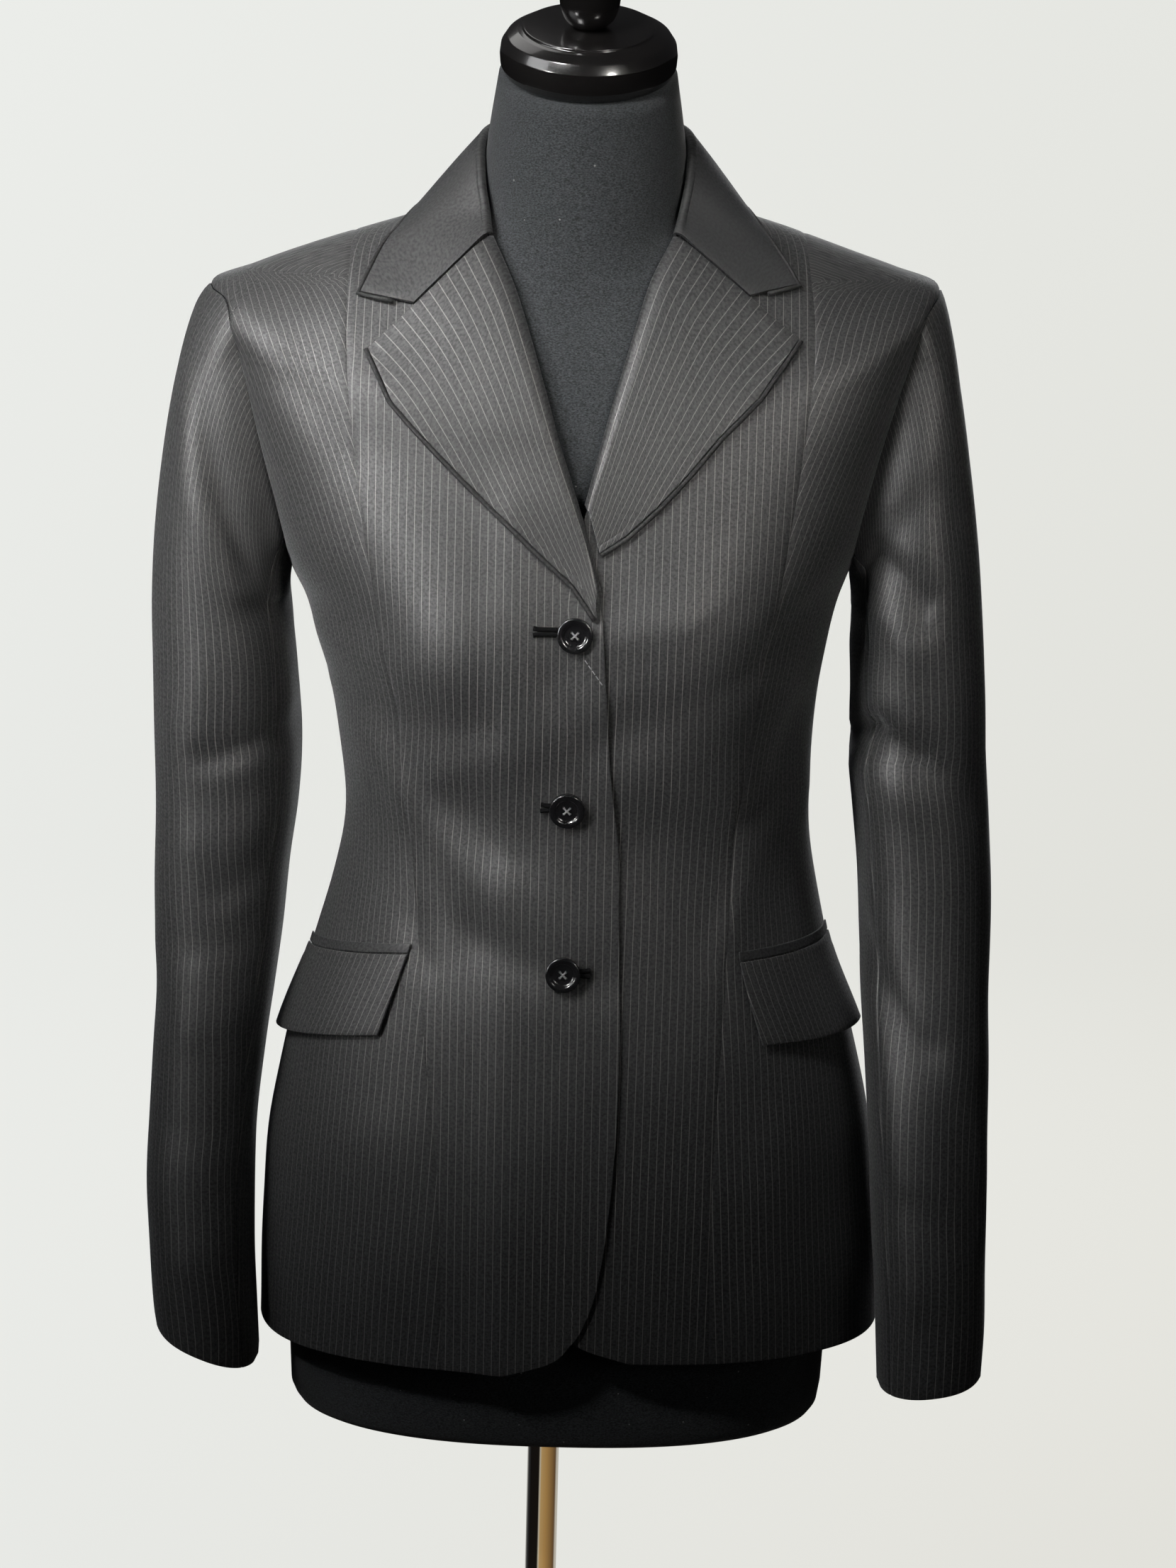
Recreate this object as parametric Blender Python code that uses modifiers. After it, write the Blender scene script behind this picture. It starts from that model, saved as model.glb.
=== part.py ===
# An equestrian show coat buttoned on a limbless dress form. The coat has eight body panels joined by
# princess seams, two-piece sleeves, a notched collar, turned-back lapels, piping, two flap pockets
# and three buttons. The form stands on a pole and a round foot. Metres, +Z up, and the wearer's front
# faces -Y, so the wearer's right is at -X.
import math

import bmesh
import bpy
import numpy as np
from mathutils import Matrix, Vector

for thing in list(bpy.data.objects):
    bpy.data.objects.remove(thing, do_unlink=True)

# Driving dimensions
CLOTH = 0.0015              # thickness of a body panel or sleeve, cloth with its backing
COLLAR_CLOTH = 0.0018       # thickness of the collar and the lapels, which are faced
SEAM = 0.0003               # gap between two pieces that are sewn or that lie on each other
HEM = 0.530                 # height of the hem above the floor
ARMPIT = 0.975              # height of the armhole's lowest point
PRINCESS_TOP = 1.0945       # level at which the princess seam meets the shoulder seam
TIP_LEVEL = 1.060           # level at which the shoulder seam ends at the sleeve
NECK_LEVEL = 1.128          # level of the neckline
LEAN = 0.018                # the coat sits a little askew: rise for each metre towards +X
BUTTON_RADIUS = 0.0098
BUTTON_THICK = 0.0042
# The button's profile from its middle over the rim to its back, as shares of radius and thickness
BUTTON_PROFILE = (
    (0, 0.66), (0.52, 0.66), (0.64, 0.95), (0.84, 1), (1, 0.62), (0.97, 0.25), (0.80, 0), (0, 0),
)
HOLE_PLACE, HOLE_RADIUS = 0.23, 0.085      # the four holes, as shares of the button's radius
POLE_RADIUS = 0.0093
FOOT_RADIUS = 0.165
FORM_BOTTOM = 0.474
FORM_HOLLOW = 0.0045        # how far the form's underside rises towards the pole
CAP_TILT = math.radians(20)

# The coat's body, ring by ring, inside face of the cloth. A ring's level is its height at the centre
# front; it stands side_rise higher over the shoulder and back_rise higher at the centre back. power is
# 2 for an ellipse and more for a squarer ring. ease is the room between the cloth and the form.
RING_COLUMNS = ("level", "side_rise", "back_rise", "centre", "half", "front", "back", "power", "ease")
RING_ROWS = (
    (0.470, 0.000, 0.000, 0.0065, 0.1805, 0.1210, 0.1310, 2.40, 0.0240),
    (0.530, 0.000, 0.000, 0.0065, 0.1805, 0.1220, 0.1310, 2.40, 0.0215),
    (0.600, 0.000, 0.000, 0.0055, 0.1780, 0.1225, 0.1305, 2.38, 0.0160),
    (0.652, 0.000, 0.000, 0.0040, 0.1725, 0.1210, 0.1285, 2.34, 0.0110),
    (0.700, 0.000, 0.000, 0.0030, 0.1625, 0.1170, 0.1230, 2.30, 0.0065),
    (0.750, 0.000, 0.000, 0.0025, 0.1480, 0.1115, 0.1120, 2.24, 0.0045),
    (0.791, 0.000, 0.000, 0.0035, 0.1375, 0.1070, 0.1030, 2.20, 0.0040),
    (0.832, 0.000, 0.000, 0.0040, 0.1315, 0.1050, 0.0985, 2.20, 0.0040),
    (0.883, 0.000, 0.000, 0.0020, 0.1340, 0.1090, 0.1005, 2.24, 0.0038),
    (0.924, 0.000, 0.000, 0.0000, 0.1405, 0.1135, 0.1045, 2.34, 0.0038),
    (0.955, 0.000, 0.000, -0.0015, 0.1488, 0.1130, 0.1085, 2.50, 0.0038),
    (0.975, 0.000, 0.001, -0.0030, 0.1570, 0.1110, 0.1110, 2.64, 0.0045),
    (1.000, 0.020, 0.008, -0.0040, 0.1700, 0.1075, 0.1135, 2.70, 0.0060),
    (1.025, 0.042, 0.018, -0.0045, 0.1840, 0.1030, 0.1140, 2.60, 0.0065),
    (1.045, 0.057, 0.028, -0.0045, 0.1960, 0.0985, 0.1115, 2.45, 0.0070),
    (1.060, 0.0675, 0.037, -0.0045, 0.2025, 0.0945, 0.1075, 2.30, 0.0070),
    (1.072, 0.0662, 0.043, -0.0040, 0.1770, 0.0900, 0.1010, 2.24, 0.0055),
    (1.084, 0.0643, 0.048, -0.0035, 0.1490, 0.0850, 0.0930, 2.20, 0.0045),
    (1.098, 0.0607, 0.053, -0.0025, 0.1170, 0.0790, 0.0830, 2.16, 0.0042),
    (1.112, 0.0550, 0.058, -0.0015, 0.0890, 0.0720, 0.0720, 2.10, 0.0045),
    (1.128, 0.048, 0.062, -0.0005, 0.0660, 0.0640, 0.0620, 2.05, 0.0050),
    (1.140, 0.043, 0.064, 0.0000, 0.0590, 0.0600, 0.0580, 2.00, 0.0050),
)
RINGS = {name: np.array([row[i] for row in RING_ROWS]) for i, name in enumerate(RING_COLUMNS)}

# The two bust points of the figure: how far they stand out, and their size across and up
BUST = {"x": 0.076, "level": 0.928, "out": 0.0135, "across": 0.046, "up": 0.062}

# Seams and edges on the front as seen from the front: height, then x on the wearer's right and left
PRINCESS_ROWS = (
    (1.1000, -0.1265, 0.1265), (1.0640, -0.1230, 0.1230), (1.0330, -0.1190, 0.1195),
    (1.0010, -0.1140, 0.1150), (0.9670, -0.1080, 0.1095), (0.9000, -0.0960, 0.0990),
    (0.8400, -0.0870, 0.0910), (0.7690, -0.0820, 0.0890), (0.6200, -0.0665, 0.0845),
    (0.5300, -0.0640, 0.0865),
)
PRINCESS_BACK_ROWS = (
    (1.1000, -0.1150, 0.1150), (1.0500, -0.1050, 0.1050), (1.0000, -0.0960, 0.0960),
    (0.9300, -0.0820, 0.0840), (0.8400, -0.0660, 0.0720), (0.7500, -0.0700, 0.0760),
    (0.6200, -0.0820, 0.0910), (0.5300, -0.0860, 0.0970),
)
ARMHOLE_FRONT_ROWS = (
    (0.9790, -0.1606, 0.1526), (0.9870, -0.1613, 0.1529), (1.0010, -0.1642, 0.1552),
    (1.0180, -0.1685, 0.1592), (1.0420, -0.1740, 0.1650), (1.0670, -0.1800, 0.1718),
    (1.0890, -0.1860, 0.1785), (1.1060, -0.1908, 0.1833), (1.1185, -0.1952, 0.1878),
)
ARMHOLE_BACK_ROWS = (
    (0.9800, -0.1607, 0.1526), (0.9890, -0.1616, 0.1530), (1.0040, -0.1649, 0.1557),
    (1.0240, -0.1697, 0.1600), (1.0470, -0.1742, 0.1648), (1.0700, -0.1785, 0.1702),
    (1.0910, -0.1837, 0.1763), (1.1070, -0.1893, 0.1818), (1.1185, -0.1943, 0.1868),
)

# Front edge of each front, from the hem to the neckline: height and x. The first five rows are the
# rounded corner at the hem; the last rows are the roll line, where the front turns back as the lapel.
RIGHT_EDGE_ROWS = (
    (0.5300, -0.0290), (0.5375, -0.0050), (0.5490, 0.0080), (0.5680, 0.0180), (0.5950, 0.0240),
    (0.6310, 0.0280), (0.7180, 0.0310), (0.7920, 0.0285), (0.8320, 0.0270), (0.8710, 0.0225),
    (0.9300, 0.0180), (0.9580, 0.0158), (0.9850, 0.0100), (1.0100, 0.0020), (1.0510, -0.0120),
    (1.0920, -0.0250), (1.1250, -0.0365), (1.1550, -0.0500),
)
LEFT_EDGE_ROWS = (
    (0.5300, 0.0410), (0.5375, 0.0160), (0.5490, 0.0030), (0.5680, -0.0080), (0.5950, -0.0145),
    (0.6310, -0.0175), (0.7180, -0.0190), (0.7920, -0.0195), (0.8320, -0.0200), (0.8710, -0.0205),
    (0.9300, -0.0200), (0.9580, -0.0165), (0.9850, -0.0060), (1.0100, 0.0035), (1.0610, 0.0170),
    (1.0990, 0.0280), (1.1360, 0.0395), (1.1580, 0.0490),
)
LAP_OUT = 0.0024            # how far the overlapping right front stands off where it laps
LAP_FROM, LAP_TO = -0.052, -0.030
LAP_TOP = (1.015, 1.050)    # heights between which the lap's lift fades out
LEFT_HEM_LIFT = 0.009       # the left front hangs shorter at its edge

# Folds of the cloth as seen from the front: both ends, half width, and height (below zero a trough)
FRONT_FOLDS = (
    (-0.115, 0.905, -0.060, 0.893, 0.016, -0.0022),
    (-0.090, 0.862, 0.010, 0.905, 0.014, 0.0016),
    (-0.082, 0.868, -0.038, 0.828, 0.009, -0.0022),
    (-0.070, 0.835, 0.000, 0.770, 0.017, 0.0028),
    (-0.050, 0.775, 0.015, 0.755, 0.013, -0.0020),
    (0.035, 0.900, 0.090, 0.925, 0.014, -0.0018),
    (0.035, 0.870, 0.120, 0.850, 0.016, 0.0016),
)

# Folds in the skirt, all round: angle from the centre front and half width in degrees, height at the hem
SKIRT_WAVES = (
    (-128, 14, 0.0050), (-160, 15, -0.0040), (122, 14, 0.0045), (158, 16, -0.0040),
    (-62, 16, 0.0016), (62, 16, 0.0016),
)

# Stations along every long seam: first the levels below the armpit, then equal steps above it
LOWER_LEVELS = (
    0.5300, 0.5375, 0.5490, 0.5680, 0.5950, 0.6310, 0.6650, 0.7000, 0.7320, 0.7620,
    0.7920, 0.8200, 0.8480, 0.8740, 0.9020, 0.9300, 0.9540, 0.9750,
)
UPPER_STEPS = 10
RIDGE_CROWDING = 1.8        # crowds the stations of a princess seam towards the shoulder seam
NECK_STEPS = 3              # of the upper steps of a front, those that run along the neckline

# Sleeve sections from the armhole down: the section's inner and outer end (x away from the body's
# middle, z), the middle of its depth in y, and half its depth, all over the outside of the cloth
SLEEVE_COLUMNS = ("inner_x", "inner_z", "outer_x", "outer_z", "middle_y", "half_depth")
RIGHT_SLEEVE_ROWS = (
    (0.1620, 0.9740, 0.2060, 1.1270, 0.001, 0.0535),
    (0.1630, 0.9660, 0.2180, 1.1060, 0.001, 0.0560),
    (0.1635, 0.9580, 0.2275, 1.0740, 0.002, 0.0590),
    (0.1630, 0.9500, 0.2345, 1.0350, 0.003, 0.0625),
    (0.1615, 0.9400, 0.2385, 0.9930, 0.003, 0.0630),
    (0.1600, 0.9260, 0.2400, 0.9500, 0.003, 0.0630),
    (0.1575, 0.9050, 0.2395, 0.9100, 0.003, 0.0625),
    (0.1552, 0.8700, 0.2390, 0.8700, 0.004, 0.0610),
    (0.1562, 0.8310, 0.2385, 0.8310, 0.003, 0.0590),
    (0.1607, 0.7930, 0.2380, 0.7930, 0.000, 0.0570),
    (0.1643, 0.7570, 0.2370, 0.7570, -0.004, 0.0555),
    (0.1684, 0.7225, 0.2364, 0.7225, -0.009, 0.0540),
    (0.1728, 0.6895, 0.2376, 0.6895, -0.015, 0.0515),
    (0.1763, 0.6520, 0.2387, 0.6520, -0.024, 0.0490),
    (0.1775, 0.6140, 0.2392, 0.6140, -0.034, 0.0465),
    (0.1765, 0.5750, 0.2367, 0.5760, -0.043, 0.0445),
    (0.1743, 0.5400, 0.2337, 0.5480, -0.049, 0.0430),
    (0.1725, 0.5115, 0.2312, 0.5345, -0.053, 0.0420),
)
LEFT_SLEEVE_ROWS = (
    (0.1545, 0.9800, 0.1925, 1.1330, 0.001, 0.0535),
    (0.1560, 0.9720, 0.2030, 1.1080, 0.001, 0.0560),
    (0.1570, 0.9640, 0.2118, 1.0750, 0.002, 0.0590),
    (0.1575, 0.9560, 0.2200, 1.0350, 0.003, 0.0625),
    (0.1575, 0.9460, 0.2265, 0.9930, 0.003, 0.0630),
    (0.1575, 0.9320, 0.2312, 0.9500, 0.003, 0.0630),
    (0.1580, 0.9050, 0.2350, 0.9100, 0.002, 0.0625),
    (0.1590, 0.8700, 0.2375, 0.8700, 0.002, 0.0610),
    (0.1625, 0.8310, 0.2410, 0.8310, 0.000, 0.0590),
    (0.1661, 0.7945, 0.2432, 0.7945, -0.005, 0.0570),
    (0.1680, 0.7600, 0.2437, 0.7600, -0.014, 0.0550),
    (0.1699, 0.7275, 0.2432, 0.7275, -0.026, 0.0530),
    (0.1724, 0.6965, 0.2433, 0.6965, -0.039, 0.0510),
    (0.1749, 0.6605, 0.2436, 0.6605, -0.051, 0.0485),
    (0.1772, 0.6245, 0.2441, 0.6245, -0.060, 0.0465),
    (0.1797, 0.5875, 0.2444, 0.5875, -0.067, 0.0450),
    (0.1822, 0.5500, 0.2449, 0.5520, -0.072, 0.0440),
    (0.1844, 0.5155, 0.2441, 0.5255, -0.075, 0.0430),
)
SLEEVE_POWER = 2.3
UNDERARM_ROOM = 0.0024      # more room in the armpit, where sleeve and body face each other
SLEEVE_STAND = 0.0007       # gap between a sleeve and the body along the armhole
SLEEVE_SEAM = 0.0008        # gap between the top sleeve and the under sleeve
SLEEVE_SEAM_FRONT = 2       # stations from the armpit to the sleeve's front seam
SLEEVE_SEAM_BACK = 3        # and to its back seam
LOOP_FADE = (1.0, 0.72, 0.45, 0.22, 0.07)   # how long the armhole's own outline lasts down the sleeve
LOOP_SOFTENING = (0, 1, 3, 5, 7)            # and how many times it is evened out at each of those rings

# Folds of a sleeve: fraction down the sleeve, angle round it (0 outer, 90 front, 180 inner), slant in
# degrees for each unit of fraction, half width as a fraction, half length in degrees, height
SLEEVE_FOLDS = (
    (0.130, 60, 300, 0.026, 55, -0.0030),
    (0.200, 75, -260, 0.028, 60, 0.0026),
    (0.440, 150, 240, 0.018, 70, -0.0036),
    (0.475, 130, 200, 0.016, 70, 0.0030),
    (0.520, 140, -220, 0.018, 60, -0.0026),
    (0.620, 60, -320, 0.024, 60, 0.0022),
    (0.760, 90, 300, 0.026, 60, -0.0020),
    (0.900, 80, -200, 0.024, 50, 0.0020),
)

# Outer edges of the lapels as seen from the front (x, z), one for each station of the roll line from
# the break up to the gorge seam; the left lapel starts higher, beside the right front's edge
RIGHT_LAPEL_EDGE = (
    (0.0130, 0.9600), (0.0000, 0.9775), (-0.0190, 0.9935), (-0.0400, 1.0130), (-0.0600, 1.0310),
    (-0.0800, 1.0500), (-0.1005, 1.0705), (-0.1140, 1.0960),
)
LEFT_LAPEL_EDGE = (
    (0.0130, 0.9945), (0.0270, 1.0040), (0.0430, 1.0190), (0.0590, 1.0365), (0.0760, 1.0570),
    (0.0960, 1.0765), (0.1170, 1.1060),
)
ROLL_STATION = {"right": 1.0005, "left": 1.0185}     # height of each roll line's first station
# Section of a lapel from the front's inner edge round the roll to its outer edge: distance from the
# roll line (a length up to the third row, then a share of the lapel's width), height over the figure
LAPEL_ROLL = ((-0.00045, 0.0001), (-0.00075, 0.0017), (0.0007, 0.0030))
LAPEL_SPREAD = ((0.10, 0.0044), (0.32, 0.0042), (0.58, 0.0035), (0.80, 0.0029), (1.00, 0.0026))

# The collar, from the gorge to the centre back: where its stand is sewn on, as an angle round the
# neck, the fold (x out, y, z), and the leaf's edge on the body: angle, level, height over the figure
COLLAR_ROWS = (
    (60.0, 0.0530, -0.0330, 1.1700, 65.0, 1.0985, 0.0030),
    (70.0, 0.0560, -0.0220, 1.1850, 72.0, 1.1045, 0.0030),
    (80.0, 0.0570, -0.0090, 1.1985, 81.0, 1.1100, 0.0040),
    (90.0, 0.0565, 0.0050, 1.2065, 92.0, 1.1125, 0.0044),
    (105.0, 0.0530, 0.0220, 1.2110, 104.0, 1.1120, 0.0042),
    (120.0, 0.0460, 0.0370, 1.2135, 118.0, 1.1105, 0.0040),
    (140.0, 0.0320, 0.0515, 1.2155, 137.0, 1.1085, 0.0040),
    (160.0, 0.0165, 0.0590, 1.2165, 158.0, 1.1075, 0.0042),
    (180.0, 0.0000, 0.0610, 1.2170, 180.0, 1.1070, 0.0042),
)
COLLAR_FOOT = 0.0004        # how far above the neckline's level the stand starts
# The roll over the fold: two points past it, outwards and up; then the leaf's belly down to its edge
COLLAR_ROLL = ((0.0019, 0.0015), (0.0038, -0.0008))
COLLAR_BELLY = 0.0004
COLLAR_SPREAD = (0.32, 0.68)
COLLAR_LIE = (0.0030, 0.0044, 0.0046, 0.0040, 0.0030)     # heights over the figure along the gorge
GORGE_SPREAD = (0.05, 0.13, 0.50)   # and where the middle three lie, as shares of the gorge's length
GORGE = {"right": ((-0.0504, 1.1561), (-0.0901, 1.1194), (-0.1195, 1.1235)),
         "left": ((0.0494, 1.1587), (0.0900, 1.1275), (0.1155, 1.1330))}

# Pocket flaps: x and height of the inner top, inner bottom; angle and height of the outer top, outer bottom
FLAPS = {"right": {"top": (-0.0865, 0.7640), "bottom": (-0.1010, 0.7175),
                   "outer_top": (-86, 0.7500), "outer_bottom": (-88, 0.6990)},
         "left": {"top": (0.0955, 0.7640), "bottom": (0.1085, 0.7175),
                  "outer_top": (84, 0.7610), "outer_bottom": (86, 0.7065)}}
FLAP_OUT, FLAP_STAND = 0.0023, 0.0050
FLAP_INNER_STAND = 0.35     # share of that stand at the flap's inner end
WELT_HEIGHT = 0.0055
WELT_CLOTH = 0.00105        # thickness of the welt
PIPING_RADIUS = 0.0013
PIPING_SIDES = 8
NOTCH_CLEAR = 0.28          # share of the collar's short front edge, from the notch, without piping
POLE_ASIDE = 0.0064         # the pole stands this far towards the wearer's right of the figure's middle

BUTTONS = ((0.0010, 0.9510), (-0.0010, 0.8540), (-0.0010, 0.7610))

# The form's neck above the shoulders: height of a section's middle, radius, y of the middle, tilt
NECK_ROWS = (
    (1.1680, 0.0565, -0.0010, 14), (1.1880, 0.0565, -0.0020, 17),
    (1.2130, 0.0538, -0.0040, 19), (1.2438, 0.0490, -0.0060, 20),
)
FORM_AROUND = 32
FORM_LEVELS = (
    0.486, 0.530, 0.580, 0.630, 0.680, 0.720, 0.760, 0.800, 0.840, 0.880, 0.920, 0.950, 0.975, 1.000,
    1.025, 1.045, 1.060, 1.072, 1.084, 1.098, 1.112, 1.128,
)
FORM_MIDDLE = (0.0, 0.003, FORM_BOTTOM)
FORM_UNDERSIDE = (0.955, 0.940)     # the rounded lower edge: how far the underside is drawn in, x and y
POLE_SEAT = 0.35            # width of the underside's flat around the pole, as a share
FORM_CROWN = 0.35           # width of the flat on the neck, as a share
RIDGE_EASE = 0.0006         # room along the shoulder seams, where the coat rests on the form
RIDGE_SHARPNESS = 16
RIDGE_LEVELS = (1.066, 1.078, 1.105, 1.120)     # where that contact starts, is full, and ends
UPRIGHT_LEVELS = (0.50, 0.80)       # the form's hips stay over the pole, its chest sits askew with the coat


def smooth(levels, values, at):
    """The cubic curve through a table's rows, its slopes taken from the neighbouring rows."""
    slopes = np.gradient(values, levels)
    at = np.clip(np.asarray(at, float), levels[0], levels[-1])
    row = np.clip(np.searchsorted(levels, at) - 1, 0, len(levels) - 2)
    span = levels[row + 1] - levels[row]
    t = (at - levels[row]) / span
    return (
        (1 + 2 * t) * (1 - t) ** 2 * values[row]
        + t * (1 - t) ** 2 * span * slopes[row]
        + t ** 2 * (3 - 2 * t) * values[row + 1]
        + t ** 2 * (t - 1) * span * slopes[row + 1]
    )


def ramp(value, low, high):
    """0 below low, 1 above high and a soft step between."""
    t = np.clip((np.asarray(value, float) - low) / (high - low), 0, 1)
    return t * t * (3 - 2 * t)


def ring(name, level):
    return smooth(RINGS["level"], RINGS[name], level)


def figure(angle, level):
    """Points of the smooth figure that the coat is cut for; angle in degrees from the centre front."""
    turn = np.radians(angle)
    sine, cosine = np.sin(turn), np.cos(turn)
    root = 2 / ring("power", level)
    across = np.sign(sine) * np.abs(sine) ** root
    deep = np.abs(cosine) ** root
    x = ring("centre", level) + ring("half", level) * across
    y = np.where(cosine > 0, -ring("front", level), ring("back", level)) * deep
    z = level + ring("side_rise", level) * sine ** 2
    z = z + np.where(cosine < 0, ring("back_rise", level), 0) * cosine ** 2
    for side in (-1, 1):
        away = ((x - side * BUST["x"]) / BUST["across"]) ** 2 + ((level - BUST["level"]) / BUST["up"]) ** 2
        y = y - np.where(cosine > 0, BUST["out"] * np.exp(-away), 0)
    return np.stack([x, y, z + LEAN * x], axis=-1)


def outward(angle, level):
    """Unit normals of the figure, pointing away from it."""
    step_angle, step_level = 0.2, 0.0004
    along = figure(angle + step_angle, level) - figure(angle - step_angle, level)
    up = figure(angle, level + step_level) - figure(angle, level - step_level)
    normal = np.cross(along, up)
    return normal / np.linalg.norm(normal, axis=-1, keepdims=True)


def creases(point, cosine):
    """Height of the folds of the fronts at a point of the figure."""
    total = np.zeros(point.shape[:-1])
    for x0, z0, x1, z1, width, height in FRONT_FOLDS:
        run = np.array([x1 - x0, z1 - z0])
        offset = point[..., [0, 2]] - np.array([x0, z0])
        share = np.clip((offset @ run) / (run @ run), 0, 1)
        away = np.linalg.norm(offset - share[..., None] * run, axis=-1)
        total = total + height * np.exp(-(away / width) ** 2)
    return np.where(cosine > 0, total, 0)


def skirt_waves(angle, level):
    """Height of the folds that open towards the hem."""
    total = np.zeros(np.broadcast(angle, level).shape)
    for middle, width, height in SKIRT_WAVES:
        turn = (angle - middle + 180) % 360 - 180
        total = total + height * np.exp(-(turn / width) ** 2)
    return total * (1 - ramp(level, HEM, 0.74))


def coat(angle, level, out=0.0, folds=True):
    """Points on the coat: the figure's points moved out, with the folds of the cloth."""
    angle, level = np.broadcast_arrays(np.asarray(angle, float), np.asarray(level, float))
    point = figure(angle, level)
    if folds:
        out = out + creases(point, np.cos(np.radians(angle))) + skirt_waves(angle, level)
    return point + outward(angle, level) * np.asarray(out)[..., None]


def place(x, z, behind=False):
    """Angle and level of the figure's point that is seen at x, z from the front or from behind."""
    low, high = RINGS["level"][0], RINGS["level"][-1]
    for _ in range(44):
        level = (low + high) / 2
        share = np.clip(abs(x - ring("centre", level)) / ring("half", level), 0, 1)
        sine = share ** (ring("power", level) / 2)
        height = level + ring("side_rise", level) * sine ** 2 + LEAN * x
        if behind:
            height += ring("back_rise", level) * (1 - sine ** 2)
        low, high = (level, high) if height < z else (low, level)
    turn = math.degrees(math.asin(sine)) * (1 if x > ring("centre", level) else -1)
    return (math.copysign(180, turn) - turn if behind else turn), float(level)


def upright(rows, column):
    """Heights and x of a seam or edge table, lowest first."""
    ordered = sorted(rows)
    return np.array([row[0] for row in ordered]), np.array([row[column] for row in ordered])


def stations(rows, column, behind, heights):
    """Angle and level at each height along a seam or edge given by its table."""
    known, x = upright(rows, column)
    return np.array([place(float(smooth(known, x, z)), z, behind) for z in heights])


def shoulder_height(level, sign):
    return float(figure(90.0 * sign, level)[2])


def princess_stations(rows, column, behind, sign):
    """A princess seam from the hem to the shoulder seam."""
    top = shoulder_height(PRINCESS_TOP, sign)
    left = np.linspace(1, 0, UPPER_STEPS + 1)[1:-1]
    upper = top - (top - ARMPIT) * left ** RIDGE_CROWDING
    known, x = upright(rows, column)
    known, x = np.append(known, top), np.append(x, figure(90.0 * sign, PRINCESS_TOP)[0])
    heights = np.concatenate([LOWER_LEVELS, upper])
    seam = [place(float(smooth(known, x, z)), z, behind) for z in heights]
    return np.array(seam + [(90 * sign, PRINCESS_TOP)])


def neckline(corner, end, steps):
    """Stations along the neckline, after the corner and up to the shoulder seam."""
    share = np.linspace(0, 1, steps + 1)[1:]
    return np.stack([corner + (end - corner) * share, np.full(steps, NECK_LEVEL)], axis=1)


def front_edge(rows, first_height):
    """The front edge and roll line of a front, then its neckline out to the shoulder seam."""
    known, x = upright(rows, 1)
    rolled = np.linspace(first_height, known[-1], UPPER_STEPS - NECK_STEPS)
    edge = stations(rows, 1, False, np.concatenate([LOWER_LEVELS, rolled]))
    edge[-1, 1] = NECK_LEVEL
    return np.concatenate([edge, neckline(edge[-1, 0], math.copysign(90, edge[-1, 0]), NECK_STEPS)])


def side_stations(rows, column, behind, sign):
    """The side seam up to the armpit, then the armhole's edge up to the shoulder tip."""
    lower = np.stack([np.interp(LOWER_LEVELS, (HEM, ARMPIT), (84 * sign, 90 * sign)), LOWER_LEVELS], axis=1)
    armhole = [place(row[column], row[0], behind) for row in rows]
    return np.concatenate([lower, np.array(armhole), [(90 * sign, TIP_LEVEL)]])


def back_edge(sign):
    """The centre back seam, then the neckline out to the shoulder seam."""
    upper = np.linspace(ARMPIT, NECK_LEVEL, UPPER_STEPS - NECK_STEPS + 1)[1:]
    levels = np.concatenate([LOWER_LEVELS, upper])
    seam = np.stack([np.full(len(levels), 180.0 * sign), levels], axis=1)
    return np.concatenate([seam, neckline(180.0 * sign, 90.0 * sign, NECK_STEPS)])


def shell(name, grid, thick, collection, closed_columns=False):
    """A sheet of cloth from a grid of points, facing outwards, given its thickness on that side."""
    rows, columns = grid.shape[:2]
    mesh = bpy.data.meshes.new(name)
    last = columns if closed_columns else columns - 1
    faces = []
    for r in range(rows - 1):
        for c in range(last):
            d = (c + 1) % columns
            faces.append((r * columns + c, r * columns + d, (r + 1) * columns + d, (r + 1) * columns + c))
    mesh.from_pydata([tuple(p) for p in grid.reshape(-1, 3)], [], faces)
    shape = bmesh.new()
    shape.from_mesh(mesh)
    bmesh.ops.remove_doubles(shape, verts=shape.verts, dist=1e-5)
    bmesh.ops.dissolve_degenerate(shape, edges=shape.edges, dist=1e-5)
    shape.to_mesh(mesh)
    shape.free()
    mesh.shade_smooth()
    piece = bpy.data.objects.new(name, mesh)
    collection.objects.link(piece)
    if thick:
        wall = piece.modifiers.new("Thickness", "SOLIDIFY")
        wall.thickness = thick
        wall.offset = 1
    return piece


def close_ends(piece):
    """Fills the open rings of a tube, so that it is one closed body."""
    shape = bmesh.new()
    shape.from_mesh(piece.data)
    bmesh.ops.holes_fill(shape, edges=[e for e in shape.edges if e.is_boundary])
    bmesh.ops.recalc_face_normals(shape, faces=shape.faces)
    shape.to_mesh(piece.data)
    shape.free()
    piece.data.shade_smooth()
    return piece


def drawn_in(grid, sides, gap=SEAM):
    """Moves the named borders of a grid inwards by half a seam's gap."""
    grid = grid.copy()
    half = gap / 2
    lines = {"start": (np.s_[:, 0], np.s_[:, 1]), "end": (np.s_[:, -1], np.s_[:, -2]),
             "top": (np.s_[-1], np.s_[-2]), "bottom": (np.s_[0], np.s_[1])}
    for side in sides:
        border, inner = lines[side]
        step = grid[inner] - grid[border]
        length = np.linalg.norm(step, axis=-1, keepdims=True)
        grid[border] = grid[border] + step / np.maximum(length, 1e-9) * half
    return grid


def between(start, end, columns):
    """Angles and levels of a panel's grid between two seams."""
    share = np.linspace(0, 1, columns + 1)[None, :, None]
    return start[:, None, :] * (1 - share) + end[:, None, :] * share


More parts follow.
